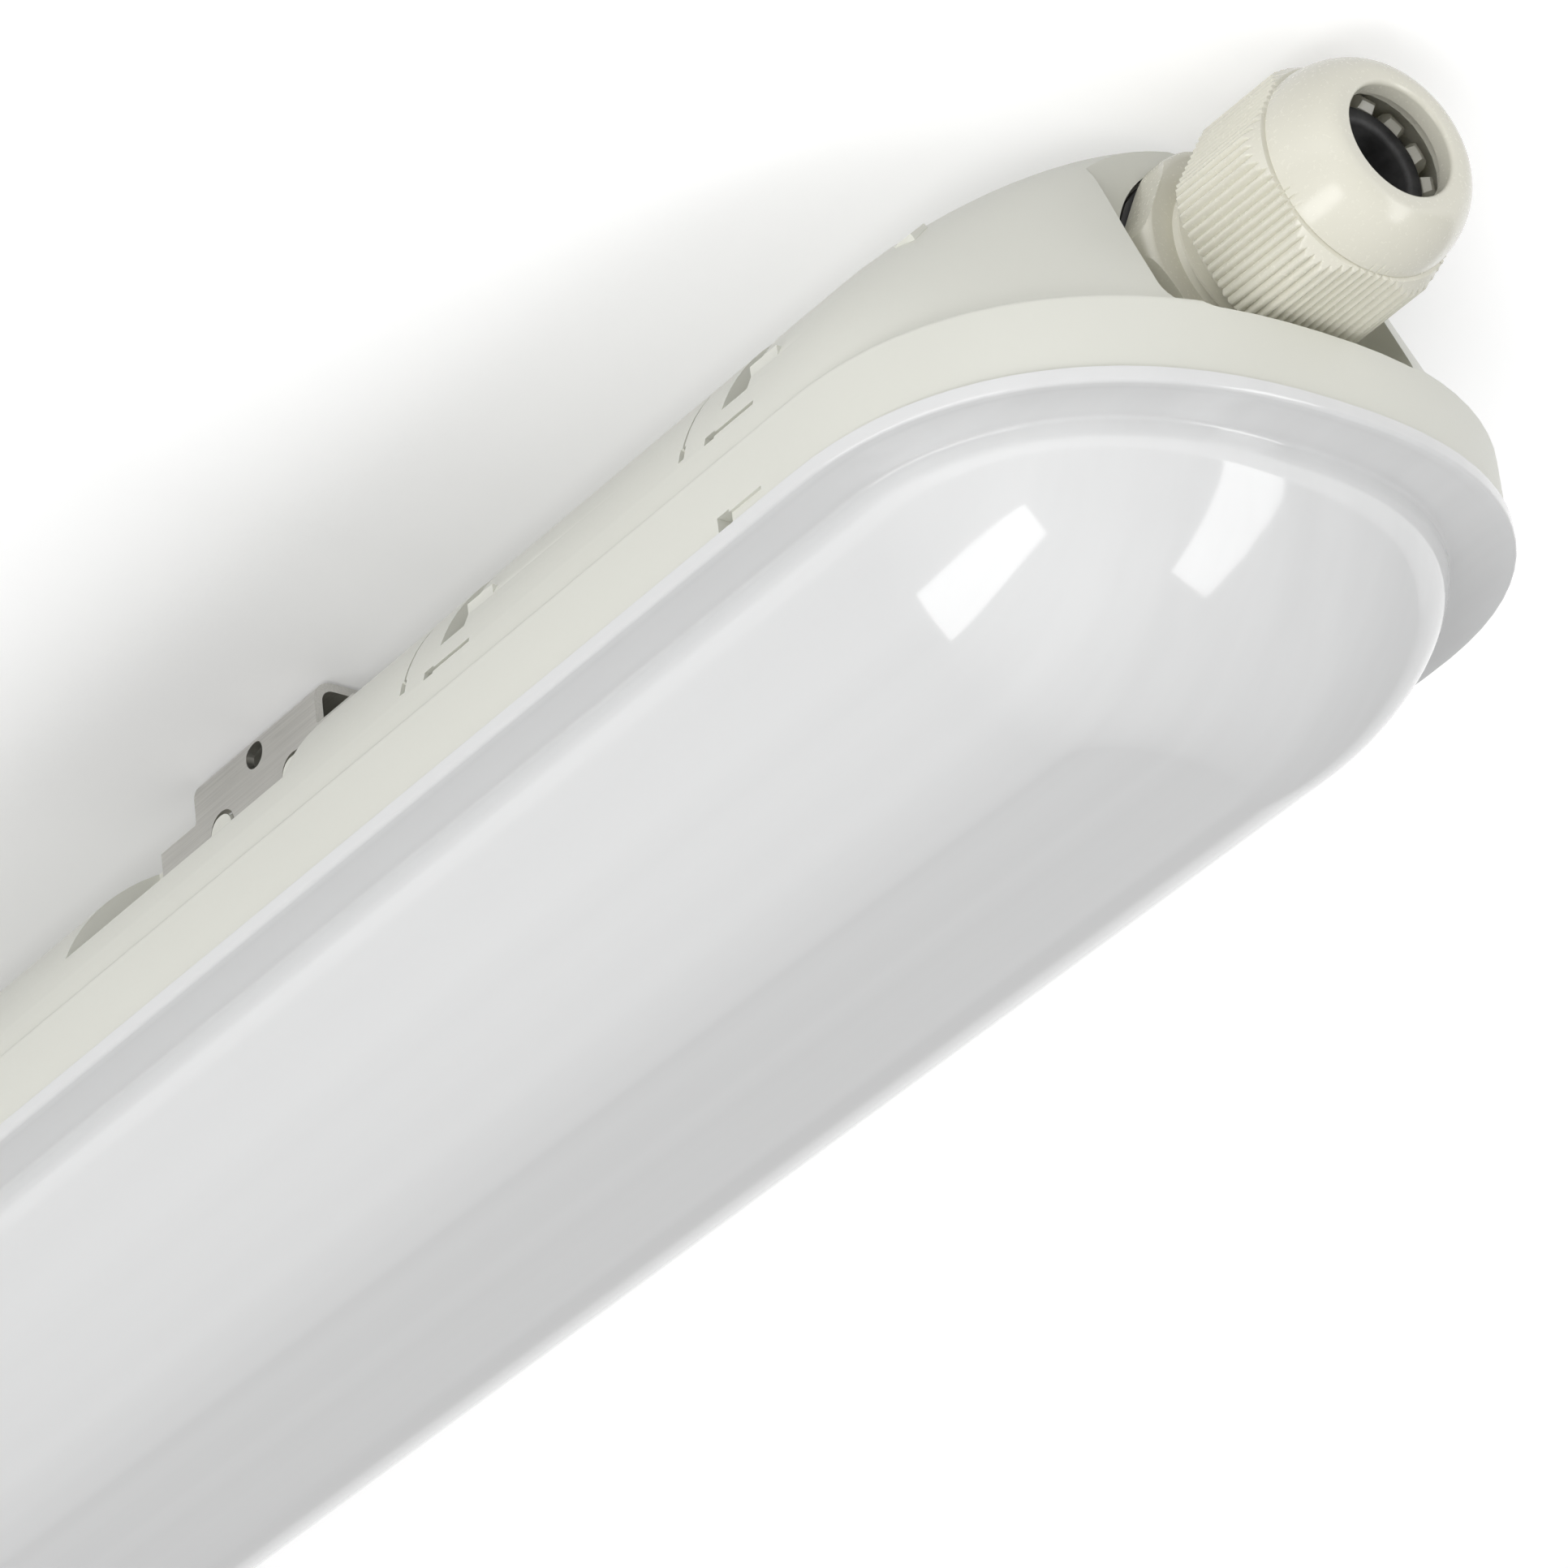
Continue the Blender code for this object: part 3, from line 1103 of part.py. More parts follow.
def make_clips():
    """Spring clips over the tray's edges, which press against the housing's walls."""
    middle = TRAY_HALF_WIDTH - TRAY_SHEET / 2
    half_gap = TRAY_SHEET / 2 + GAP + CLIP_SHEET / 2
    web = TRAY_EDGE + GAP + CLIP_SHEET / 2
    sizes = (half_gap, web, web - CLIP_LENGTH, CLIP_WIDTH / 2, CLIP_BEND)
    corners = [(end, side) for end in (1, -1) for side in (1, -1)]
    first = None
    for number, (end, side) in enumerate(corners, start=1):
        data = first.data if first else folded_strip("clip", *sizes)
        place = (end * CLIP_X, side * middle, 0)
        clip = new_part("tray_clip_%d" % number, data, STEEL, TRAY_SLIDE, place)
        if not first:
            first = bake(thicken(clip, CLIP_SHEET))


clear_scene()
PARTS = new_collection("vapor_tight_light")
CUTTERS = new_collection("cutters")

CREAM = new_material("moulded_cream", (0.73, 0.73, 0.66), 0.45)
GLOSSY_CREAM = new_material("gland_cream", (0.76, 0.74, 0.65), 0.3)
OPAL = new_material("opal_diffuser", (0.86, 0.87, 0.87), 0.25)
RUBBER = new_material("black_rubber", (0.025, 0.025, 0.027), 0.7)
STEEL = new_material("stainless_sheet", (0.6, 0.6, 0.58), 0.35, metallic=1.0)
WHITE_STEEL = new_material("white_coated_steel", (0.85, 0.85, 0.84), 0.4)
WHITE_BOARD = new_material("white_board", (0.88, 0.88, 0.86), 0.5)
WHITE_PLASTIC = new_material("white_plastic", (0.8, 0.8, 0.78), 0.4)
BROWN = new_material("brown_wire", (0.16, 0.06, 0.03), 0.45)
BLUE = new_material("blue_wire", (0.03, 0.12, 0.5), 0.45)
GREEN = new_material("green_wire", (0.1, 0.4, 0.08), 0.45)
RED = new_material("red_wire", (0.5, 0.03, 0.03), 0.45)
BLACK = new_material("black_wire", (0.03, 0.03, 0.03), 0.45)

SEAM = new_empty("seam", None, (0, 0, SEAM_Z))
DIFFUSER_SLIDE = new_empty("diffuser_slide", SEAM, (0, 0, 0))
TRAY_SLIDE = new_empty("gear_tray_slide", SEAM, (0, 0, 0))
GLAND_AXIS = new_empty("gland_axis", SEAM, (SEAT_X, 0, GLAND_Z), (0, math.pi / 2, 0))
PLUG_AXIS = new_empty("plug_axis", SEAM, (-SEAT_X, 0, GLAND_Z), (0, -math.pi / 2, 0))

make_base()
make_gasket()
make_diffuser()
make_gland_body()
make_gland_seals()
make_dome_nut()
make_plug()
make_brackets()
make_tray()
make_light_boards()
make_driver()
make_terminal()
make_earth_screw()
make_mains_wires()
make_led_wires()
make_clips()
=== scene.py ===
"""Looks of the vapour-tight LED luminaire: finer forms, materials, studio light and the camera.

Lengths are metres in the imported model's frame: +X runs toward the cable gland, +Z up into the ceiling.
Heights are measured from the seam between housing and diffuser, whose place comes from the frame.
Angles whose name ends in ANGLE or ANGLES are degrees, and the others are radians.
"""

import json
import math

import bmesh
import bpy
from mathutils import Matrix, Vector


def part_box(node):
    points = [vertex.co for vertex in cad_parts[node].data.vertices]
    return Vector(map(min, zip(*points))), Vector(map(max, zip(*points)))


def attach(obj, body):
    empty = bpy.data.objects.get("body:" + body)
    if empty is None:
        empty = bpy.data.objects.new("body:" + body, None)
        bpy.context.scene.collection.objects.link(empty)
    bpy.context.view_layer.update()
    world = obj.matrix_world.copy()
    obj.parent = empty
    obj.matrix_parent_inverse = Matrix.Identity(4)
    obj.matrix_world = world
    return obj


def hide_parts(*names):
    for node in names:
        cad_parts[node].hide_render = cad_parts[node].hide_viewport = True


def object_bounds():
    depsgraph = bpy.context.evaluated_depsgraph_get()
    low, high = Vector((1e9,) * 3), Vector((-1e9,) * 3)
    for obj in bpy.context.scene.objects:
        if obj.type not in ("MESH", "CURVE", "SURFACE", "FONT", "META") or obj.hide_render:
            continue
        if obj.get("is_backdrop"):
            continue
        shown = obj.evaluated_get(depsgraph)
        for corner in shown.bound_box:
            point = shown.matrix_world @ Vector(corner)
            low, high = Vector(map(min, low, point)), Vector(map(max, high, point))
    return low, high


MM = 0.001
OVERRUN = 4.0 * MM
GAP = 0.3 * MM
SHARP_ANGLE = 32
MERGE_DISTANCE = 0.001 * MM

# Camera, with its lens and sensor in millimetres, and studio
CAMERA_AT = (0.8392, -0.5175, -0.4937)
CAMERA_ANGLES = (119.832, 6.247, 54.044)
CAMERA_LENS = 212.4
CAMERA_SENSOR = 36.0
CAMERA_NEAR = 10.0 * MM
CEILING_GAP = 0.4 * MM
FLOOR_DEPTH = 2.4
STAGE_HALF = 4.0
STAGE_COLOUR = (0.75, 0.75, 0.75, 1.0)
WHITE = (1.0, 1.0, 1.0, 1.0)
STUDIO_DISTANCE = 1.3
STUDIO_TARGET = (0.26, 0.0, -0.045)
WORLD_LEVEL = 0.375
BACKDROP_LEVEL = 0.75

# Glow of the ceiling and floor is painted shade and light: full where open, dimmer close to the object,
# and painted lighter toward the gland's end
STAGE_GLOW = 0.55
STAGE_SHADE = 0.17
SHADE_REACH = 60.0 * MM
SHADE_SPAN = (0.5, 1.0)
# Painted lightening of the ceiling's glow toward the gland's end, and the X positions over which it rises
PAINTED_LIGHT_LIFT = 0.3
LIFT_SPAN = (190.0 * MM, 300.0 * MM)

# Softboxes: name, azimuth and elevation in degrees, size, power, and whether reflections show it
SOFTBOXES = (
    ("softbox_side", -90, -42, (1.55, 0.4), 6.2, True),
    ("softbox_end", 26, -14, (0.33, 1.7), 5.7, True),
    ("softbox_front", -66, 0, (2.0, 0.9), 9, False),
    ("softbox_low", -10, -60, (1.2, 1.2), 2.5, False),
)

# Plan and section of the housing
END_REACH = 34.0 * MM
END_POWER = 2.3
ARCH_POWER = 2.0
ROOF_SQUARING = 2.3
ROOF_SQUARING_POWER = 4
END_STEPS = 40
SKIRT_HEIGHT = 8.1 * MM
SKIRT_ROUND = 0.5 * MM
LEDGE_SIDE = 1.7 * MM
LEDGE_END = 0.3 * MM
FOOT_FILLET = 0.6 * MM
FILLET_END_ANGLE = -15
ROUND_RINGS = 4
ROOF_CUT = 0.5 * MM
ARCH_STEPS = 22
CAVITY_STEPS = 12
END_LEAN = 11.5 * MM
ROOF_WALL = 2.2 * MM
SKIRT_WALL = 2.0 * MM
CHANNEL_WIDTH = 3.2 * MM
CHANNEL_DEPTH = 6.1 * MM
INNER_RIM = 1.0 * MM
POCKET_WALL = 2.0 * MM

# Notches, recesses and hooks of the housing
NOTCH_DEPTH = 12.4 * MM
NOTCH_HALF_WIDTH = 15.5 * MM
NOTCH_SINK = 0.5 * MM
NOTCH_ROUND = 4.0 * MM
NOTCH_WALL = 4.5 * MM
SEAT_DEPTH = 2.0 * MM
SEAT_RADIUS = 12.7 * MM
GLAND_ABOVE_SKIRT = 12.5 * MM
THREAD_RADIUS = 10.0 * MM
RECESS_HALF_LENGTH = 21.0 * MM
RECESS_FLOOR = 15.9 * MM
RECESS_HALF_GAP = 22.7 * MM
HOOK_REACH = 1.5 * MM
HOOK_LOW = 22.2 * MM
HOOK_HIGH = 28.7 * MM
HOOK_ROOT = 0.8 * MM
HOOK_ROUND = 1.8 * MM

# Clip stations: a deep throat, a hood beside it, a keyway, a slit, and the groove between stations
STATION_FROM_END = 47.0 * MM
STATION_PITCH = 48.6 * MM
STATION_COUNT = 2
POCKET_FLOOR = 15.8 * MM
THROAT_LENGTH = 4.2 * MM
THROAT_HALF_GAP = 27.0 * MM
HOOD_LENGTH = 4.4 * MM
HOOD_HALF_WIDTH = 35.0 * MM
HOOD_HEIGHT = 2.7 * MM
HOOD_ROOT = 6.0 * MM
SLIT_WIDTH = 0.35 * MM
SLIT_DEPTH = 1.4 * MM
SLIT_LOW = 14.0 * MM
SLIT_HIGH = 22.0 * MM
SLIT_OFFSET = 6.0 * MM
SLIT_FOOT = 0.9 * MM
KEYWAY_OFFSET = 2.0 * MM
KEYWAY_LENGTH = 8.0 * MM
KEYWAY_HEIGHT = 13.0 * MM
KEYWAY_WIDTH = 0.5 * MM
KEYWAY_DEPTH = 0.7 * MM
KEYHOLE_LENGTH = 1.6 * MM
KEYHOLE_WIDTH = 1.0 * MM
KEYHOLE_DEPTH = 2.2 * MM
GROOVE_HEIGHT = 24.2 * MM
GROOVE_WIDTH = 0.4 * MM
GROOVE_DEPTH = 0.6 * MM
GROOVE_MARGIN = 8.0 * MM

# Pry notches, nubs and tray stops
PRY_FROM_END = 45.7 * MM
PRY_LENGTH = 7.1 * MM
PRY_HEIGHT = 1.5 * MM
PRY_STEP = 0.35 * MM
PRY_DEPTH = 1.7 * MM
PRY_HOLE_LENGTH = 1.9 * MM
NUB_FROM_END = 24.5 * MM
NUB_FROM_MIDDLE = 28.0 * MM
NUB_LENGTH = 2.6 * MM
NUB_HEIGHT = 0.6 * MM
NUB_CENTRE_HEIGHT = 24.4 * MM
STOP_FROM_BRACKET = 54.7 * MM
STOP_LENGTH = 6.0 * MM
STOP_REACH = 2.6 * MM
STOP_HEIGHT = 4.0 * MM
TRAY_EDGE = 13.3 * MM

# Diffuser
FLANGE_OVERHANG = 0.5 * MM
FLANGE_THICKNESS = 1.4 * MM
RIM_ROUND = 0.45 * MM
DISH_START = 0.9 * MM
DISH_END = 5.2 * MM
DISH_DEPTH = 0.15 * MM
DISH_STEPS = 8
CORNER_FILLET = 0.45 * MM
BOWL_INSET = 6.0 * MM
BOWL_SHOULDER = 3.2 * MM
BOWL_CLOSE = 22.5 * MM
BOWL_DROP = 21.0 * MM
BOWL_POWER = 1.3
BOWL_STEPS = 36
BOWL_INNER_STEPS = 14
DIFFUSER_WALL = 1.6 * MM
TONGUE_WIDTH = 1.7 * MM
TONGUE_HEIGHT = 3.5 * MM

# Cable gland, measured outward from its seat in the notch's wall
TURN_STEPS = 96
WASHER_THICKNESS = 1.2 * MM
BODY_FLATS = 23.4 * MM
BODY_CORNER_RADIUS = 12.8 * MM
BODY_TURN = math.radians(36)
BODY_HEX_LENGTH = 4.4 * MM
BODY_CHAMFER = 1.1 * MM
BODY_ROUND_ANGLE = 75
BODY_BORE = 6.0 * MM
STUB_INSIDE = 2.7 * MM
CAP_THREAD_RADIUS = 9.9 * MM
CAP_THREAD_LENGTH = 14.2 * MM
THREAD_PITCH = 1.5 * MM
THREAD_DEPTH = 0.8 * MM
THREAD_CREST = 0.2
CLAW_LENGTH = 4.0 * MM
CLAW_ROOT_RADIUS = 9.4 * MM
CLAW_TIP_RADIUS = 8.6 * MM
CLAW_TIP_ROUND = 0.6 * MM
CLAW_TIP_ANGLE = 10
CLAW_COUNT = 14
CLAW_TURN = math.radians(2.3)
CLAW_SLOT_WIDTH = 1.1 * MM
CLAW_SLOT_LENGTH = 6.5 * MM
CLAW_NOTCH_WIDTH = 2.3 * MM
CLAW_NOTCH_DEPTH = 2.2 * MM
SEAL_RADIUS = 6.9 * MM
SEAL_BORE = 5.0 * MM
SEAL_LENGTH = 14.0 * MM
SEAL_SET_BACK = 0.1 * MM
SEAL_LIP = 0.6 * MM

# Dome nut
CAP_SHOWN_THREAD = 4.4 * MM
CAP_FLATS = 23.4 * MM
CAP_CORNER_RADIUS = 12.7 * MM
CAP_TURN = math.radians(30)
CAP_CHAMFER = 0.3 * MM
CAP_HEX_LENGTH = 10.6 * MM
RIB_COUNT = 80
RIB_DEPTH = 0.45 * MM
RIB_SAMPLES = 8
SHOULDER_LENGTH = 1.6 * MM
SHOULDER_RADIUS = 11.75 * MM
CREASE_LENGTH = 0.25 * MM
CREASE_DEPTH = 0.15 * MM
DOME_RADIUS = 11.4 * MM
DOME_LENGTH = 6.45 * MM
DOME_POWER = 1.8
DOME_STEPS = 24
CORNER_ROWS = 12
LIP_RADIUS = 7.5 * MM
LIP_THICKNESS = 2.0 * MM
LIP_ROUND = 0.5 * MM
MOUTH_RADIUS = 6.15 * MM
CAP_BORE = 10.2 * MM
CAP_POCKET_RADIUS = 9.6 * MM
CAP_POCKET_DEPTH = 2.6 * MM
CAP_TAPER_LENGTH = 1.0 * MM

# Brackets
SHEET = 1.0 * MM
BEND_RADIUS = 2.0 * MM
BEND_STEPS = 8
BRACKET_WIDTH = 23.2 * MM
FOOT_WIDTH = 37.0 * MM
FOOT_BELOW_ROOF = 4.2 * MM
SHOULDER_ROUND = 0.4 * MM
WINDOW_INNER = 4.6 * MM
WINDOW_OUTER = 9.1 * MM
WINDOW_BOTTOM = 21.9 * MM
WINDOW_TOP = 29.3 * MM
WINDOW_ROUND = 2.1 * MM
TOOL_HOLE_RADIUS = 1.55 * MM
TOOL_HOLE_BELOW_ROOF = 1.8 * MM
SCREW_SLOT_HALF_LENGTH = 7.0 * MM
SCREW_SLOT_RADIUS = 2.6 * MM

# Light chips, terminal screws, driver ribs and copper tracks
CHIP_LENGTH = 3.5 * MM
CHIP_WIDTH = 2.8 * MM
CHIP_HEIGHT = 0.7 * MM
CHIP_LENS_RADIUS = 1.0 * MM
CHIP_LENS_HEIGHT = 0.075 * MM
CHIP_SPACING = 12.0 * MM
CHIP_BORDER = 16.0 * MM
SCREW_RADIUS = 2.1 * MM
SCREW_HEIGHT = 0.5 * MM
SCREW_DRIVE_WIDTH = 0.7 * MM
POLE_SPACING = 9.0 * MM
POLE_COUNT = 3
LID_RIB_COUNT = 9
LID_RIB_WIDTH = 1.2 * MM
LID_RIB_HEIGHT = 0.45 * MM
LID_RIB_SPACING = 3.0 * MM
TRACK_GAP = 0.4 * MM
TRACK_ROW = 5.0 * MM

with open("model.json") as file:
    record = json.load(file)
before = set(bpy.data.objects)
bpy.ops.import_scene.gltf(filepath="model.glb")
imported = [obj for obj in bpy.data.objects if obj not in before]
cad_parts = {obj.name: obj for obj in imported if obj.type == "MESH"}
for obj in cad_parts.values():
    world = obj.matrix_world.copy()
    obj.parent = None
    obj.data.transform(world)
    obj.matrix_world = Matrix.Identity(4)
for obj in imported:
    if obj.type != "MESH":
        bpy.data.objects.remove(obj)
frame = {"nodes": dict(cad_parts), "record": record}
NODES = frame["nodes"]
CAD_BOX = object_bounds()

# Places worked out from the frame
BASE_LOW, BASE_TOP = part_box("base_housing")
BRACKET_LOW, BRACKET_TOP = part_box("bracket_gland_end")
SEAM_Z = BASE_LOW.z
BASE_HEIGHT = BASE_TOP.z - BASE_LOW.z
ABOVE_ROOF = BASE_HEIGHT + OVERRUN
HALF_LENGTH = BASE_TOP.x
HALF_WIDTH = BASE_TOP.y
STRAIGHT = HALF_LENGTH - END_REACH
ARCH_RISE = BASE_HEIGHT + ROOF_CUT - SKIRT_HEIGHT
ARCH_HALF_WIDTH = HALF_WIDTH - LEDGE_SIDE
CAVITY_INSET = SKIRT_WALL + CHANNEL_WIDTH + INNER_RIM
CAVITY_HALF_WIDTH = HALF_WIDTH - CAVITY_INSET
NOTCH_WALL_X = HALF_LENGTH - NOTCH_DEPTH
NOTCH_FLOOR = SKIRT_HEIGHT - NOTCH_SINK
SEAT_X = NOTCH_WALL_X - SEAT_DEPTH
GLAND_Z = SKIRT_HEIGHT + GLAND_ABOVE_SKIRT
BRACKET_X = (BRACKET_LOW.x + BRACKET_TOP.x) / 2
BRACKET_RISE = BRACKET_TOP.z - BASE_TOP.z
ARM_HALF_GAP = RECESS_HALF_GAP + GAP
FOOT_BOTTOM = RECESS_FLOOR + GAP
STATION_STARTS = [HALF_LENGTH - STATION_FROM_END - STATION_PITCH * index for index in range(STATION_COUNT)]
HEX_START = WASHER_THICKNESS + 2 * GAP
HEX_END = HEX_START + BODY_HEX_LENGTH
CAP_THREAD_END = HEX_END + CAP_THREAD_LENGTH
CLAW_TIP = CAP_THREAD_END + CLAW_LENGTH
SEAL_TIP = CLAW_TIP - SEAL_SET_BACK
SEAL_SEAT = SEAL_TIP - SEAL_LENGTH - GAP
CAP_RIM = HEX_END + CAP_SHOWN_THREAD
CAP_CORNER_END = CAP_RIM + CAP_HEX_LENGTH
DOME_START = CAP_CORNER_END + SHOULDER_LENGTH + CREASE_LENGTH
MOUTH = DOME_START + DOME_LENGTH
LIP_INSIDE = MOUTH - LIP_THICKNESS
AT_SEAM = Matrix.Translation((0, 0, SEAM_Z))
AT_GLAND = Matrix.Translation((SEAT_X, 0, SEAM_Z + GLAND_Z)) @ Matrix.Rotation(math.pi / 2, 4, "Y")
AT_PLUG = Matrix.Rotation(math.pi, 4, "Z") @ AT_GLAND

# Places mirrored to both ends, or to both ends and sides, and turns that extrude an outline along X or Y
ENDS = [Matrix.Diagonal((end, 1, 1, 1)) for end in (1, -1)]
FLIPS = [Matrix.Diagonal((end, side, 1, 1)) for end in (1, -1) for side in (1, -1)]
X_AHEAD = Matrix(((0, 0, 1, 0), (1, 0, 0, 0), (0, 1, 0, 0), (0, 0, 0, 1)))
Y_AHEAD = Matrix(((1, 0, 0, 0), (0, 0, 1, 0), (0, 1, 0, 0), (0, 0, 0, 1)))


# Modelling helpers


def new_object(name, data, place, material=None):
    made = bpy.data.objects.new(name, data)
    bpy.context.scene.collection.objects.link(made)
    made.matrix_world = place
    if material:
        data.materials.append(material)
    return made


def combine(piece, tool, operation="DIFFERENCE"):
    modifier = piece.modifiers.new(tool.name, "BOOLEAN")
    modifier.operation = operation
    modifier.object = tool
    return piece


def remove_with_tools(tool):
    for item in tool.modifiers:
        if item.type == "BOOLEAN":
            remove_with_tools(item.object)
    bpy.data.objects.remove(tool, do_unlink=True)


def bake(piece):
    """Applies the piece's modifiers, removes the tools that they used and shades the result."""
    tools = [item.object for item in piece.modifiers if item.type == "BOOLEAN"]
    graph = bpy.context.evaluated_depsgraph_get()
    mesh = bpy.data.meshes.new_from_object(piece.evaluated_get(graph), depsgraph=graph)
    piece.modifiers.clear()
    piece.data = mesh
    mesh.name = piece.name
    mesh.shade_smooth()
    mesh.set_sharp_from_angle(angle=math.radians(SHARP_ANGLE))
    for tool in tools:
        remove_with_tools(tool)


def settle(piece, body, slot, *nodes):
    """The piece rides on a body and stands for the CAD nodes, which it hides. The slot is not used."""
    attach(piece, body)
    if nodes:
        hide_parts(*nodes)


def mesh_of(name, shape):
    mesh = bpy.data.meshes.new(name)
    shape.to_mesh(mesh)
    shape.free()
    return mesh


def solid(name, shape, place, material=None):
    """A closed shape as an object, its faces turned outward."""
    bmesh.ops.recalc_face_normals(shape, faces=shape.faces)
    return new_object(name, mesh_of(name, shape), place, material)


def loft(name, rings, place=AT_SEAM, material=None, looped=False):
    """A solid through rings of equal point counts, capped at both ends or closed on itself."""
    shape = bmesh.new()
    levels = [[shape.verts.new(point) for point in ring] for ring in rings]
    following = levels[1:] + levels[:1] if looped else levels[1:]
    for near, far in zip(levels, following):
        for index, point in enumerate(near):
            other = (index + 1) % len(near)
            shape.faces.new((point, near[other], far[other], far[index]))
    if not looped:
        shape.faces.new(levels[0])
        shape.faces.new(levels[-1])
    return solid(name, shape, place, material)


def box_tool(name, boxes, placements=FLIPS, place=AT_SEAM):
    """Boxes between pairs of corners, once for each placement."""
    shape = bmesh.new()
    for placement in placements:
        for box in boxes:
            low, high = Vector(box[0]), Vector(box[1])
            fit = Matrix.Translation((low + high) / 2) @ Matrix.Diagonal((*(high - low), 1))
            made = bmesh.ops.create_cube(shape, size=1)
            bmesh.ops.transform(shape, matrix=placement @ fit, verts=made["verts"])
    return solid(name, shape, place)


def prism(name, outline, depth, placements, place=AT_SEAM, material=None):
    """An outline of (x, y) points extruded up by the depth, once for each placement."""
    shape = bmesh.new()
    for placement in placements:
        face = shape.faces.new([shape.verts.new((x, y, 0)) for x, y in outline])
        made = bmesh.ops.extrude_face_region(shape, geom=[face])["geom"]
        top = [item for item in made if isinstance(item, bmesh.types.BMVert)]
        bmesh.ops.translate(shape, vec=(0, 0, depth), verts=top)
        bmesh.ops.transform(shape, matrix=placement, verts=list(face.verts) + top)
    return solid(name, shape, place, material)


def arc(centre, radius, start, end, steps=ROUND_RINGS):
    """Points of a circular arc in a plane, angles in degrees."""
    turns = [math.radians(start + (end - start) * step / steps) for step in range(steps + 1)]
    return [(centre[0] + radius * math.cos(a), centre[1] + radius * math.sin(a)) for a in turns]


def circle(radius, steps):
    """Points of a whole circle, without the first one again."""
    return arc((0, 0), radius, 0, 360, steps)[:-1]


def rounded_rectangle(low, high, radius, steps=5):
    """Points of a rectangle with round corners, between two opposite corners."""
    (x0, y0), (x1, y1) = low, high
    centres = [(x1 - radius, y1 - radius), (x0 + radius, y1 - radius)]
    centres += [(x0 + radius, y0 + radius), (x1 - radius, y0 + radius)]
    points = []
    for quarter, centre in enumerate(centres):
        points += arc(centre, radius, 90 * quarter, 90 * quarter + 90, steps)
    return points


def turned(name, outline, place, material=None, looped=False):
    """An outline of (radius, height) points turned about the place's Z axis, its faces outward."""
    pairs = list(zip(outline, outline[1:] + outline[:1]))
    if sum(a[0] * b[1] - b[0] * a[1] for a, b in pairs) > 0:
        outline = outline[::-1]
    mesh = bpy.data.meshes.new(name)
    edges = [(index, index + 1) for index in range(len(outline) - 1)]
    if looped:
        edges.append((len(outline) - 1, 0))
    mesh.from_pydata([(radius, 0, height) for radius, height in outline], edges, [])
    piece = new_object(name, mesh, place, material)
    screw = piece.modifiers.new("turned", "SCREW")
    screw.steps = screw.render_steps = TURN_STEPS
    screw.use_merge_vertices = True
    screw.merge_threshold = MERGE_DISTANCE
    return piece


# Housing


def plan_ring(side_inset, end_inset, height, power=END_POWER):
    """One level of the housing's plan: straight sides joined by superelliptic ends."""
    half_width = HALF_WIDTH - side_inset
    reach = END_REACH - end_inset
    points = []
    for end in (1, -1):
        for step in range(END_STEPS + 1):
            angle = math.pi * (step / END_STEPS - 1 / 2)
            along = abs(math.cos(angle)) ** (2 / power)
            across = math.copysign(abs(math.sin(angle)) ** (2 / power), angle)
            points.append((end * (STRAIGHT + reach * along), end * half_width * across, height))
    return points


def arch_rings(wall, start_height, steps):
    """Levels of the arch, moved inward by the wall, from a height up to the flat roof."""
    half_width = ARCH_HALF_WIDTH - wall
    rise = ARCH_RISE - wall
    first = math.asin((start_height - SKIRT_HEIGHT) / rise)
    last = math.asin((BASE_HEIGHT - wall - SKIRT_HEIGHT) / rise)
    rings = []
    for step in range(steps + 1):
        angle = first + (last - first) * step / steps
        climb = math.sin(angle)
        side_inset = HALF_WIDTH - half_width * math.cos(angle)
        end_inset = LEDGE_END + END_LEAN * climb + wall
        power = ARCH_POWER + ROOF_SQUARING * climb**ROOF_SQUARING_POWER
        rings.append(plan_ring(side_inset, end_inset, SKIRT_HEIGHT + rise * climb, power))
    return rings


def skirt_rings():
    """Levels of the skirt, its rounded edge and the fillet where the arch rises from the ledge."""
    edge = arc((SKIRT_ROUND, SKIRT_HEIGHT - SKIRT_ROUND), SKIRT_ROUND, 180, 90)
    fillet_centre = (LEDGE_SIDE - FOOT_FILLET, SKIRT_HEIGHT + FOOT_FILLET)
    fillet = arc(fillet_centre, FOOT_FILLET, -90, FILLET_END_ANGLE)
    narrowing = LEDGE_END / LEDGE_SIDE
    rings = []
    for levels, power in (([(0, 0)] + edge, END_POWER), (fillet, ARCH_POWER)):
        rings += [plan_ring(inset, inset * narrowing, height, power) for inset, height in levels]
    return rings


def arch_half_width(height):
    rise = (height - SKIRT_HEIGHT) / ARCH_RISE
    return ARCH_HALF_WIDTH * math.sqrt(1 - rise * rise)


def arch_slope(low, high):
    """Where the arch stands at a low height, and the angle and length of its chord to a high one."""
    near, far = arch_half_width(low), arch_half_width(high)
    return near, math.atan2(near - far, high - low), math.hypot(near - far, high - low)


def at_stations(start, end, low, high):
    """A box for each clip station, between two distances from its start and two (y, z) corners."""
    return [((x + start, *low), (x + end, *high)) for x in STATION_STARTS]


def on_arch(lean, feet):
    """Placements at the feet and their mirror images, leaned like the arch there."""
    turn = Matrix.Rotation(lean, 4, "X")
    return [flip @ Matrix.Translation(foot) @ turn for foot in feet for flip in FLIPS]


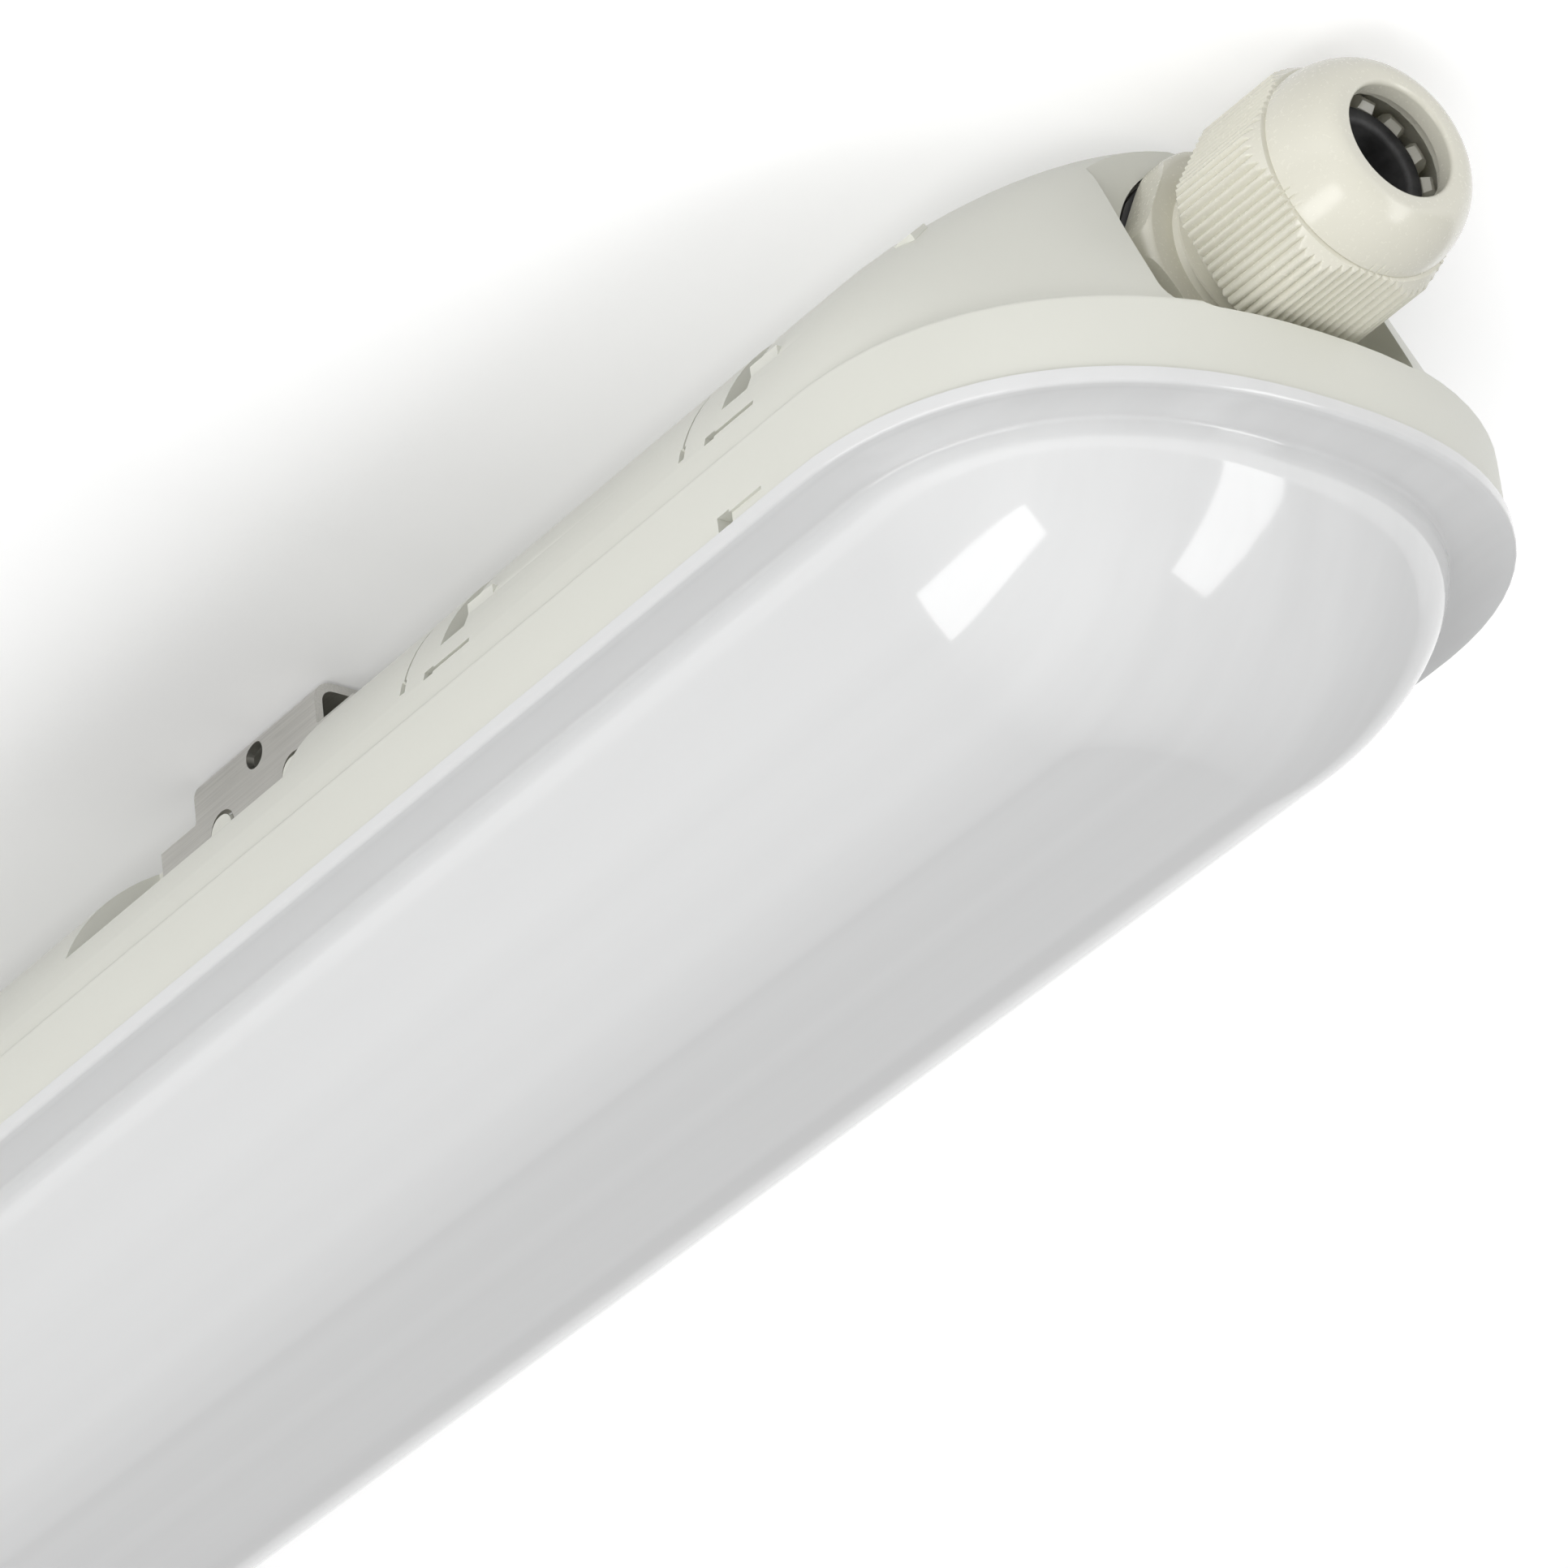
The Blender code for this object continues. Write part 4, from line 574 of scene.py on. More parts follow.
def cavity_tool():
    """The hollow of the housing, which keeps a wall round each notch, recess and throat."""
    knee_cosine = CAVITY_HALF_WIDTH / (ARCH_HALF_WIDTH - ROOF_WALL)
    knee_height = SKIRT_HEIGHT + (ARCH_RISE - ROOF_WALL) * math.sqrt(1 - knee_cosine**2)
    rings = [plan_ring(CAVITY_INSET, CAVITY_INSET, height) for height in (-OVERRUN, CHANNEL_DEPTH)]
    rings += arch_rings(ROOF_WALL, knee_height, CAVITY_STEPS)
    notch = (
        (SEAT_X - NOTCH_WALL, -NOTCH_HALF_WIDTH - POCKET_WALL, NOTCH_FLOOR - POCKET_WALL),
        (HALF_LENGTH, NOTCH_HALF_WIDTH + POCKET_WALL, ABOVE_ROOF),
    )
    tool = combine(loft("cavity", rings), box_tool("notch_walls", [notch], ENDS))
    reach = RECESS_HALF_LENGTH + POCKET_WALL
    low = (BRACKET_X - reach, RECESS_HALF_GAP - POCKET_WALL, RECESS_FLOOR - POCKET_WALL)
    pockets = [(low, (BRACKET_X + reach, HALF_WIDTH, ABOVE_ROOF))]
    throat = (THROAT_HALF_GAP - POCKET_WALL, POCKET_FLOOR - POCKET_WALL)
    pockets += at_stations(-POCKET_WALL, THROAT_LENGTH + POCKET_WALL, throat, (HALF_WIDTH, ABOVE_ROOF))
    return combine(tool, box_tool("pocket_walls", pockets))


def channel_tool():
    """The groove in the rim that takes the gasket and the diffuser's tongue."""
    outer, inner = SKIRT_WALL, SKIRT_WALL + CHANNEL_WIDTH
    corners = [(outer, -OVERRUN), (inner, -OVERRUN), (inner, CHANNEL_DEPTH), (outer, CHANNEL_DEPTH)]
    return loft("channel", [plan_ring(inset, inset, height) for inset, height in corners], looped=True)


def notch_tool():
    """The open notch at each end: a U outline with rounded bottom corners."""
    side = NOTCH_HALF_WIDTH - NOTCH_ROUND
    outline = arc((side, NOTCH_FLOOR + NOTCH_ROUND), NOTCH_ROUND, -90, 0, 2 * ROUND_RINGS)
    outline.append((NOTCH_HALF_WIDTH, ABOVE_ROOF))
    outline += [(-y, z) for y, z in reversed(outline)]
    upright = Matrix.Translation((NOTCH_WALL_X, 0, 0)) @ X_AHEAD
    return prism("notches", outline, NOTCH_DEPTH + OVERRUN, [end @ upright for end in ENDS])


def recess_tool():
    """The recesses that the brackets' legs hang in."""
    low = (BRACKET_X - RECESS_HALF_LENGTH, RECESS_HALF_GAP, RECESS_FLOOR)
    return box_tool("recesses", [(low, (BRACKET_X + RECESS_HALF_LENGTH, HALF_WIDTH, ABOVE_ROOF))])


def throat_tool():
    """The deep narrow pocket at the inner side of each clip station."""
    low, high = (THROAT_HALF_GAP, POCKET_FLOOR), (HALF_WIDTH, ABOVE_ROOF)
    return box_tool("throats", at_stations(0, THROAT_LENGTH, low, high))


def hood_tool():
    """The upright block at the outer side of each clip station."""
    low = (HOOD_HALF_WIDTH - HOOD_ROOT, POCKET_FLOOR)
    high = (HOOD_HALF_WIDTH, POCKET_FLOOR + HOOD_HEIGHT)
    return box_tool("hoods", at_stations(THROAT_LENGTH, THROAT_LENGTH + HOOD_LENGTH, low, high))


def keyway_cut(name, length, width, depth):
    """A box sunk into the arch below each station, all starting at the keyway's inner end."""
    low = (arch_half_width(KEYWAY_HEIGHT) - depth, KEYWAY_HEIGHT - width / 2)
    high = (HALF_WIDTH, KEYWAY_HEIGHT + width / 2)
    return box_tool(name, at_stations(-KEYWAY_OFFSET, length - KEYWAY_OFFSET, low, high))


def keyway_tool():
    """The long shallow keyway below each station, with a deeper hole at its inner end."""
    keyways = keyway_cut("keyways", KEYWAY_LENGTH, KEYWAY_WIDTH, KEYWAY_DEPTH)
    keyholes = keyway_cut("keyholes", KEYHOLE_LENGTH, KEYHOLE_WIDTH, KEYHOLE_DEPTH)
    return combine(keyways, keyholes, "UNION")


def slit_tool():
    """The thin slit up the arch beside each station, wider at its foot."""
    near, lean, length = arch_slope(SLIT_LOW, SLIT_HIGH)
    placements = on_arch(lean, [(start - SLIT_OFFSET, near, SLIT_LOW) for start in STATION_STARTS])
    slit = ((-SLIT_WIDTH / 2, -SLIT_DEPTH, 0), (SLIT_WIDTH / 2, OVERRUN, length))
    foot = ((-SLIT_FOOT / 2, -SLIT_DEPTH / 2, -SLIT_FOOT), (SLIT_FOOT / 2, OVERRUN, SLIT_FOOT))
    slits = box_tool("slits", [slit], placements)
    return combine(slits, box_tool("slit_feet", [foot], placements), "UNION")


def groove_tool():
    """A fine groove along the arch's shoulder, between the two clip stations."""
    near, lean, length = arch_slope(GROOVE_HEIGHT, GROOVE_HEIGHT + GROOVE_WIDTH)
    first, second = STATION_STARTS
    low = (second + THROAT_LENGTH + HOOD_LENGTH + GROOVE_MARGIN, -GROOVE_DEPTH, 0)
    high = (first - THROAT_LENGTH / 2, OVERRUN, length)
    return box_tool("grooves", [(low, high)], on_arch(lean, [(0, near, GROOVE_HEIGHT)]))


def pry_tool():
    """The step in the skirt's lower edge where a blade starts to lift the diffuser off."""
    start, side = HALF_LENGTH - PRY_FROM_END, HALF_WIDTH + OVERRUN
    step = ((start, HALF_WIDTH - PRY_STEP, -OVERRUN), (start + PRY_LENGTH, side, PRY_HEIGHT))
    hole = ((start, HALF_WIDTH - PRY_DEPTH, -OVERRUN), (start + PRY_HOLE_LENGTH, side, PRY_HEIGHT + GAP))
    return combine(box_tool("pry_steps", [step]), box_tool("pry_holes", [hole]), "UNION")


def hook_tool():
    """The snap hooks, which fill the brackets' windows but for a narrow gap."""
    low, high = WINDOW_INNER + GAP, WINDOW_OUTER - GAP
    outline = rounded_rectangle((low, HOOK_LOW), (high, HOOK_HIGH), HOOK_ROUND)
    foot = Matrix.Translation((BRACKET_X, RECESS_HALF_GAP - HOOK_ROOT, 0))
    placements = [flip @ foot @ end @ Y_AHEAD for flip in FLIPS for end in ENDS]
    return prism("hooks", outline, HOOK_ROOT + HOOK_REACH, placements)


def nub_tool():
    """Small blocks on the roof's shoulders, square to the arch's slope there."""
    half = NUB_LENGTH / 2
    lean = arch_slope(NUB_CENTRE_HEIGHT - half, NUB_CENTRE_HEIGHT + half)[1]
    foot = (HALF_LENGTH - NUB_FROM_END, NUB_FROM_MIDDLE, NUB_CENTRE_HEIGHT)
    return box_tool("nubs", [((-half, -half, -half), (half, NUB_HEIGHT, half))], on_arch(lean, [foot]))


def stop_tool():
    """Ribs on the inner walls, just above the gear tray's edges."""
    middle, low = BRACKET_X - STOP_FROM_BRACKET, TRAY_EDGE + GAP
    corner = (middle - STOP_LENGTH / 2, CAVITY_HALF_WIDTH - STOP_REACH, low)
    far = (middle + STOP_LENGTH / 2, CAVITY_HALF_WIDTH + INNER_RIM / 2, low + STOP_HEIGHT)
    return box_tool("tray_stops", [(corner, far)])


def wall_hole(name, place):
    """The sunk seat for the washer, and the hole that the gland's or the plug's thread screws into."""
    radius = THREAD_RADIUS + GAP
    front, back = SEAT_DEPTH + OVERRUN, -NOTCH_WALL - OVERRUN
    outline = [(0, front), (SEAT_RADIUS, front), (SEAT_RADIUS, 0), (radius, 0), (radius, back), (0, back)]
    return turned(name, outline, place)


def make_housing(material):
    """The housing's outer form, less what is cut out of it, and with what stands on it."""
    rings = skirt_rings() + arch_rings(0, SKIRT_HEIGHT + 2 * FOOT_FILLET, ARCH_STEPS)
    housing = loft("housing_moulding", rings, AT_SEAM, material)
    cuts = [cavity_tool(), channel_tool(), notch_tool(), recess_tool(), groove_tool(), throat_tool()]
    cuts += [keyway_tool(), slit_tool(), pry_tool()]
    cuts += [wall_hole("gland_hole", AT_GLAND), wall_hole("plug_hole", AT_PLUG)]
    for tool in cuts:
        combine(housing, tool)
    for tool in (hood_tool(), hook_tool(), nub_tool(), stop_tool()):
        combine(housing, tool, "UNION")
    bake(housing)
    settle(housing, "housing", "moulded_cream", "base_housing")


# Diffuser


def bowl_levels(wall, steps):
    """(inset, height) of the bowl from its shoulder down to its flat, moved inward by the wall."""
    levels = []
    for step in range(steps + 1):
        angle = math.pi / 2 * step / steps
        inset = BOWL_INSET + wall + (BOWL_CLOSE - wall) * (1 - math.cos(angle) ** BOWL_POWER)
        levels.append((inset, -BOWL_SHOULDER - (BOWL_DROP - wall) * math.sin(angle) ** BOWL_POWER))
    return levels


def flange_levels():
    """(inset, height) round the flange: inner fillet, hollow, rounded rim, then over the tongue."""
    seat = -GAP
    lip = seat - FLANGE_THICKNESS
    levels = arc((BOWL_INSET - CORNER_FILLET, lip - CORNER_FILLET), CORNER_FILLET, 0, 90)
    for step in range(DISH_STEPS + 1):
        share = step / DISH_STEPS
        hollow = DISH_DEPTH * math.sin(math.pi * share)
        levels.append((DISH_END + (DISH_START - DISH_END) * share, lip + hollow))
    levels += arc((RIM_ROUND - FLANGE_OVERHANG, lip + RIM_ROUND / 2), RIM_ROUND, -90, -180)
    tongue = SKIRT_WALL + GAP
    inner = BOWL_INSET + DIFFUSER_WALL
    levels += [
        (-FLANGE_OVERHANG, seat),
        (tongue, seat),
        (tongue, TONGUE_HEIGHT),
        (tongue + TONGUE_WIDTH, TONGUE_HEIGHT),
        (tongue + TONGUE_WIDTH, seat),
        (inner - FLANGE_THICKNESS / 2, seat),
        (inner - GAP, seat - FLANGE_THICKNESS / 2),
    ]
    return levels


def make_diffuser(material):
    """The opal cover: up the bowl's outside, round the flange and tongue, and down the bowl's inside."""
    levels = bowl_levels(0, BOWL_STEPS)[::-1] + flange_levels()
    levels += bowl_levels(DIFFUSER_WALL, BOWL_INNER_STEPS)
    rings = [plan_ring(inset, inset, height) for inset, height in levels]
    cover = loft("opal_cover", rings, AT_SEAM, material)
    bake(cover)
    settle(cover, "diffuser", "opal_diffuser", "diffuser")


# Cable gland


def rib_reach(turn, sample):
    """Radius of the nut's ribbed hexagon at an angle from -X. Each rib takes RIB_SAMPLES samples."""
    from_facet = (turn - CAP_TURN) % (math.pi / 3) - math.pi / 6
    crest = min(CAP_FLATS / 2 / math.cos(from_facet), CAP_CORNER_RADIUS)
    valley = 1 - abs(math.sin(math.pi * sample / RIB_SAMPLES))
    return crest - RIB_DEPTH * valley


def body_hexagon():
    """The hexagon of the gland's body, its corners turned down and rounded over."""
    radius = BODY_FLATS / 2 / math.cos(math.pi / 6)
    turns = [BODY_TURN + math.pi / 3 * index for index in range(6)]
    outline = [(-radius * math.cos(turn), -radius * math.sin(turn)) for turn in turns]
    start = Matrix.Translation((0, 0, HEX_START))
    hexagon = prism("gland_hex", outline, HEX_END - HEX_START, [start], AT_GLAND)
    middle = BODY_CORNER_RADIUS - BODY_CHAMFER
    inner = middle - BODY_CHAMFER
    barrel = [(0, HEX_END + GAP), (inner, HEX_END + GAP)]
    barrel += arc((middle, HEX_END - BODY_CHAMFER), BODY_CHAMFER, BODY_ROUND_ANGLE, 0)
    barrel += arc((middle, HEX_START + BODY_CHAMFER), BODY_CHAMFER, 0, -BODY_ROUND_ANGLE)
    barrel += [(inner, HEX_START - GAP), (0, HEX_START - GAP)]
    return combine(hexagon, turned("hex_barrel", barrel, AT_GLAND), "INTERSECT")


def thread_outline(radius, low, high):
    """Ridges of a thread along a straight stretch, from its high end to its low one."""
    count = int((high - low) / THREAD_PITCH)
    points = []
    for index in range(count):
        top = high - THREAD_PITCH * index
        points.append((radius - THREAD_DEPTH, top))
        points.append((radius, top - THREAD_PITCH * (0.5 - THREAD_CREST / 2)))
        points.append((radius, top - THREAD_PITCH * (0.5 + THREAD_CREST / 2)))
    points.append((radius - THREAD_DEPTH, high - THREAD_PITCH * count))
    return points


def claw_turns():
    """Places of the slots round the axis, turned a little so that no cut runs along an edge of the body."""
    pitch = 2 * math.pi / CLAW_COUNT
    return [Matrix.Rotation(CLAW_TURN + pitch * index, 4, "Z") for index in range(CLAW_COUNT)]


def claw_slots():
    """Radial slots that split the end of the gland's body into claws."""
    half = CLAW_SLOT_WIDTH / 2
    low = (SEAL_RADIUS - GAP, -half, CLAW_TIP - CLAW_SLOT_LENGTH)
    high = (CAP_THREAD_RADIUS + OVERRUN, half, CLAW_TIP + OVERRUN)
    return box_tool("claw_slots", [(low, high)], claw_turns(), AT_GLAND)


def claw_notches():
    """V notches over the slots, which taper the claws toward their tips."""
    tip, foot = CLAW_TIP + GAP, CLAW_TIP - CLAW_NOTCH_DEPTH
    notch = [(CLAW_NOTCH_WIDTH / 2, tip), (-CLAW_NOTCH_WIDTH / 2, tip), (0, foot)]
    outward = Matrix.Translation((SEAL_RADIUS - 2 * GAP, 0, 0)) @ X_AHEAD
    return prism("claw_notches", notch, OVERRUN, [turn @ outward for turn in claw_turns()], AT_GLAND)


def make_gland_body(material):
    """Wall thread, hexagon, cap thread and round-tipped claws on one bored body."""
    stub_end = -NOTCH_WALL - STUB_INSIDE
    tip_centre = (CLAW_TIP_RADIUS - CLAW_TIP_ROUND, CLAW_TIP - CLAW_TIP_ROUND)
    outline = [(0, CLAW_TIP)] + arc(tip_centre, CLAW_TIP_ROUND, 90, CLAW_TIP_ANGLE)
    outline.append((CLAW_ROOT_RADIUS, CAP_THREAD_END))
    outline += thread_outline(CAP_THREAD_RADIUS, HEX_END, CAP_THREAD_END)
    outline += [(THREAD_RADIUS, HEX_END - BODY_CHAMFER), (THREAD_RADIUS, HEX_START - GAP)]
    outline += thread_outline(THREAD_RADIUS, stub_end, HEX_START - WASHER_THICKNESS)
    outline += [(THREAD_RADIUS - THREAD_DEPTH, stub_end), (0, stub_end)]
    body = turned("gland_moulding", outline, AT_GLAND, material)
    combine(body, body_hexagon(), "UNION")
    seat = SEAL_RADIUS + GAP
    bore = [
        (0, CLAW_TIP + OVERRUN),
        (seat + CLAW_TIP_ROUND, CLAW_TIP + OVERRUN),
        (seat + CLAW_TIP_ROUND, CLAW_TIP),
        (seat, CLAW_TIP - CLAW_TIP_ROUND),
        (seat, SEAL_SEAT),
        (BODY_BORE, SEAL_SEAT),
        (BODY_BORE, stub_end - OVERRUN),
        (0, stub_end - OVERRUN),
    ]
    combine(body, turned("gland_bore", bore, AT_GLAND))
    combine(body, claw_slots())
    combine(body, claw_notches())
    bake(body)
    settle(body, "housing", "gland_cream", "gland_body")


def make_gland_seal(material):
    """The rubber sleeve in the gland's mouth, with a rounded lip."""
    low = SEAL_SEAT + GAP
    lip = SEAL_TIP - SEAL_LIP
    outline = arc((SEAL_BORE + SEAL_LIP, lip), SEAL_LIP, 180, 90)
    outline += arc((SEAL_RADIUS - SEAL_LIP, lip), SEAL_LIP, 90, 0)
    outline += [(SEAL_RADIUS, low), (SEAL_BORE, low)]
    seal = turned("gland_rubber", outline, AT_GLAND, material, looped=True)
    bake(seal)
    settle(seal, "housing", "black_rubber", "gland_seal")


def nut_profile():
    """(radius, height) rows from the nut's rim over corners, shoulder, crease and dome to its lip."""
    rows = [(CAP_CORNER_RADIUS - CAP_CHAMFER, CAP_RIM)]
    for step in range(CORNER_ROWS + 1):
        height = CAP_CHAMFER + (CAP_HEX_LENGTH - CAP_CHAMFER) * step / CORNER_ROWS
        rows.append((CAP_CORNER_RADIUS, CAP_RIM + height))
    for step in range(1, CORNER_ROWS + 1):
        share = step / CORNER_ROWS
        radius = CAP_CORNER_RADIUS + (SHOULDER_RADIUS - CAP_CORNER_RADIUS) * share
        rows.append((radius, CAP_CORNER_END + SHOULDER_LENGTH * share))
    rows.append((DOME_RADIUS - CREASE_DEPTH, DOME_START - CREASE_LENGTH / 2))
    for step in range(DOME_STEPS + 1):
        angle = math.pi / 2 * step / DOME_STEPS
        out = math.cos(angle) ** (2 / DOME_POWER)
        up = math.sin(angle) ** (2 / DOME_POWER)
        rows.append((LIP_RADIUS + (DOME_RADIUS - LIP_RADIUS) * out, DOME_START + DOME_LENGTH * up))
    return rows + arc((MOUTH_RADIUS + LIP_ROUND, MOUTH - LIP_ROUND), LIP_ROUND, 90, 180)


def make_dome_nut(material):
    """A ribbed hexagon turned down to a dome, bored for the gland's claws and the cable."""
    taper_end = LIP_INSIDE - CAP_POCKET_DEPTH
    bore = [
        (MOUTH_RADIUS, LIP_INSIDE),
        (CAP_POCKET_RADIUS, LIP_INSIDE),
        (CAP_POCKET_RADIUS, taper_end),
        (CAP_BORE, taper_end - CAP_TAPER_LENGTH),
        (CAP_BORE, CAP_RIM),
    ]
    outer = nut_profile()
    count = RIB_COUNT * RIB_SAMPLES
    rings = [[] for _ in outer + bore]
    for sample in range(count):
        turn = 2 * math.pi * sample / count
        reach = rib_reach(turn, sample)
        radii = [min(reach, radius) for radius, _ in outer] + [radius for radius, _ in bore]
        for ring, radius, (_, height) in zip(rings, radii, outer + bore):
            ring.append((-radius * math.cos(turn), -radius * math.sin(turn), height))
    nut = loft("dome_nut", rings, AT_GLAND, material, looped=True)
    bake(nut)
    settle(nut, "gland_nut", "gland_cream", "gland_dome_nut")


# Brackets


def bracket_fold():
    """The bracket's sheet without its thickness: a web across Y, and a leg folded down at each side."""
    side, web = ARM_HALF_GAP + SHEET / 2, BASE_HEIGHT + BRACKET_RISE - SHEET / 2
    bend = arc((side - BEND_RADIUS, web - BEND_RADIUS), BEND_RADIUS, 0, 90, BEND_STEPS)
    half = [(side, FOOT_BOTTOM)] + bend
    path = half + [(-y, z) for y, z in reversed(half)]
    shape = bmesh.new()
    near, far = [[shape.verts.new((x, y, z)) for y, z in path] for x in (-FOOT_WIDTH / 2, FOOT_WIDTH / 2)]
    for index in range(len(path) - 1):
        shape.faces.new((near[index], far[index], far[index + 1], near[index + 1]))
    return mesh_of("sheet_bracket", shape)


def bracket_cuts(place):
    """Side waste above the feet, round-cornered hook windows, the tool hole and the screw slot."""
    reach = ARM_HALF_GAP + SHEET + OVERRUN
    foot_top, top = BASE_HEIGHT - FOOT_BELOW_ROOF, BASE_HEIGHT + BRACKET_RISE + OVERRUN
    across = Matrix.Translation((0, -reach, 0)) @ Y_AHEAD
    both = [end @ across for end in ENDS]
    waste = rounded_rectangle((BRACKET_WIDTH / 2, foot_top), (FOOT_WIDTH, top), SHOULDER_ROUND)
    yield prism("waste", waste, 2 * reach, both, place)
    window = rounded_rectangle((WINDOW_INNER, WINDOW_BOTTOM), (WINDOW_OUTER, WINDOW_TOP), WINDOW_ROUND)
    yield prism("windows", window, 2 * reach, both, place)
    level = Matrix.Translation((0, 0, BASE_HEIGHT - TOOL_HOLE_BELOW_ROOF)) @ across
    yield prism("tool_hole", circle(TOOL_HOLE_RADIUS, TURN_STEPS // 3), 2 * reach, [level], place)
    ends, steps = SCREW_SLOT_HALF_LENGTH - SCREW_SLOT_RADIUS, TURN_STEPS // 6
    slot = arc((0, ends), SCREW_SLOT_RADIUS, 0, 180, steps)
    slot += arc((0, -ends), SCREW_SLOT_RADIUS, 180, 360, steps)
    yield prism("screw_slot", slot, OVERRUN, [Matrix.Translation((0, 0, BASE_HEIGHT))], place)


def make_brackets(material):
    """Two alike brackets: a U of sheet metal with wide feet, its corners rounded."""
    place = Matrix.Translation((BRACKET_X, 0, SEAM_Z))
    first = new_object("sheet_bracket_gland_end", bracket_fold(), place, material)
    solidify = first.modifiers.new("sheet", "SOLIDIFY")
    solidify.thickness = SHEET
    solidify.offset = 0
    for tool in bracket_cuts(place):
        combine(first, tool)
    bake(first)
    far = Matrix.Translation((-BRACKET_X, 0, SEAM_Z))
    second = new_object("sheet_bracket_plug_end", first.data, far)
    settle(first, "housing", "stainless_sheet", "bracket_gland_end")
    settle(second, "housing", "stainless_sheet", "bracket_plug_end")


# Fittings on the gear tray


def add_fitting(fitting, slot="white_plastic"):
    """Finishes a piece that rides on the gear tray and stands for no CAD node."""
    bake(fitting)
    settle(fitting, "gear_tray", slot)


def make_light_chips(package, phosphor):
    """A row of light chips on each board: a low package with a round lens of yellow phosphor."""
    near, far = (-CHIP_LENGTH / 2, -CHIP_WIDTH / 2), (CHIP_LENGTH / 2, CHIP_WIDTH / 2)
    outline = rounded_rectangle(near, far, CHIP_HEIGHT / 2, steps=2)
    lens = circle(CHIP_LENS_RADIUS, TURN_STEPS // 4)
    for board in ("led_board_a", "led_board_b"):
        low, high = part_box(board)
        count = int((high.x - low.x - 2 * CHIP_BORDER) / CHIP_SPACING) + 1
        start = (low.x + high.x - CHIP_SPACING * (count - 1)) / 2
        places = [Matrix.Translation((start + CHIP_SPACING * index, 0, low.z)) for index in range(count)]
        add_fitting(prism(board + "_chips", outline, -CHIP_HEIGHT, places, Matrix(), package))
        below = [place @ Matrix.Translation((0, 0, -CHIP_HEIGHT)) for place in places]
        add_fitting(prism(board + "_lenses", lens, -CHIP_LENS_HEIGHT, below, Matrix(), phosphor))


def make_terminal_screws(material):
    """Two rows of slotted screw heads on the terminal block, one for each pole and side."""
    low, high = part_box("terminal_block")
    quarter = (high.x - low.x) / 4
    sides = [POLE_SPACING * (index - (POLE_COUNT - 1) / 2) for index in range(POLE_COUNT)]
    spots = [(x, (low.y + high.y) / 2 + y) for x in (low.x + quarter, high.x - quarter) for y in sides]
    rounding = SCREW_HEIGHT / 2
    outline = [(0, SCREW_HEIGHT)]
    outline += arc((SCREW_RADIUS - rounding, SCREW_HEIGHT - rounding), rounding, 90, 0)
    outline += [(SCREW_RADIUS, -SCREW_HEIGHT), (0, -SCREW_HEIGHT)]
    half = SCREW_DRIVE_WIDTH / 2
    drive = ((-SCREW_RADIUS * 2, -half, 0), (SCREW_RADIUS * 2, half, SCREW_HEIGHT * 2))
    for number, (x, y) in enumerate(spots, start=1):
        place = Matrix.Translation((x, y, high.z))
        head = turned("terminal_screw_%d" % number, outline, place, material)
        combine(head, box_tool("drive", [drive], [Matrix()], place))
        add_fitting(head, "stainless_sheet")


def make_driver_ribs(material):
    """Cooling ribs across the driver's lid, near each end."""
    low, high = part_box("driver_lid")
    half, sink = LID_RIB_WIDTH / 2, GAP / 2
    outline = rounded_rectangle((-half, low.y + LID_RIB_SPACING), (half, high.y - LID_RIB_SPACING), half)
    places = []
    for index in range(LID_RIB_COUNT):
        inset = LID_RIB_SPACING * (index + 1)
        places += [Matrix.Translation((x, 0, high.z - sink)) for x in (low.x + inset, high.x - inset)]
    add_fitting(prism("driver_ribs", outline, LID_RIB_HEIGHT + sink, places, Matrix(), material))


# Materials


def feed(socket, value):
    """Links an input socket to the value if that is a socket too, and else sets it."""
    if isinstance(value, bpy.types.NodeSocket):
        socket.id_data.links.new(value, socket)
    else:
        socket.default_value = value


def set_inputs(node, **values):
    """Feeds values into a node's sockets by name, with underscores for spaces."""
    for name, value in values.items():
        feed(node.inputs[name.replace("_", " ")], value)


def add_node(tree, kind, **values):
    node = tree.nodes.new("ShaderNode" + kind)
    set_inputs(node, **values)
    return node


def new_material(name):
    """A material, its node tree and its Principled shader."""
    material = bpy.data.materials.new(name)
    material.use_nodes = True
    return material, material.node_tree, material.node_tree.nodes["Principled BSDF"]


def object_coordinates(tree, stretch=(1.0, 1.0, 1.0)):
    """Object coordinates, stretched by a factor for each axis."""
    place = add_node(tree, "TexCoord").outputs["Object"]
    return add_node(tree, "Mapping", Vector=place, Scale=stretch).outputs["Vector"]


def noise(tree, scale, detail=4.0, stretch=(1.0, 1.0, 1.0)):
    """A noise value around 0.5, whose grain is 1/scale metres."""
    place = object_coordinates(tree, stretch)
    return add_node(tree, "TexNoise", Vector=place, Scale=scale, Detail=detail).outputs["Fac"]


def remap(value, low=0.0, high=1.0, start=0.3, end=0.7):
    """The span of a value socket from start to end, spread over low to high."""
    span = {"From_Min": start, "From_Max": end, "To_Min": low, "To_Max": high}
    return add_node(value.id_data, "MapRange", Value=value, **span).outputs["Result"]


def calculate(operation, first, second):
    """The result of a math operation on two value sockets, kept between 0 and 1."""
    node = add_node(first.id_data, "Math")
    node.operation = operation
    node.use_clamp = True
    feed(node.inputs[0], first)
    feed(node.inputs[1], second)
    return node.outputs[0]


def mix_colours(factor, first, second):
    """Two colours, or colour sockets, mixed by a factor socket."""
    mix = add_node(factor.id_data, "Mix", Factor=factor)
    mix.data_type = "RGBA"
    for name, value in (("A", first), ("B", second)):
        feed(next(item for item in mix.inputs if item.name == name and item.type == "RGBA"), value)
    return next(item for item in mix.outputs if item.type == "RGBA")


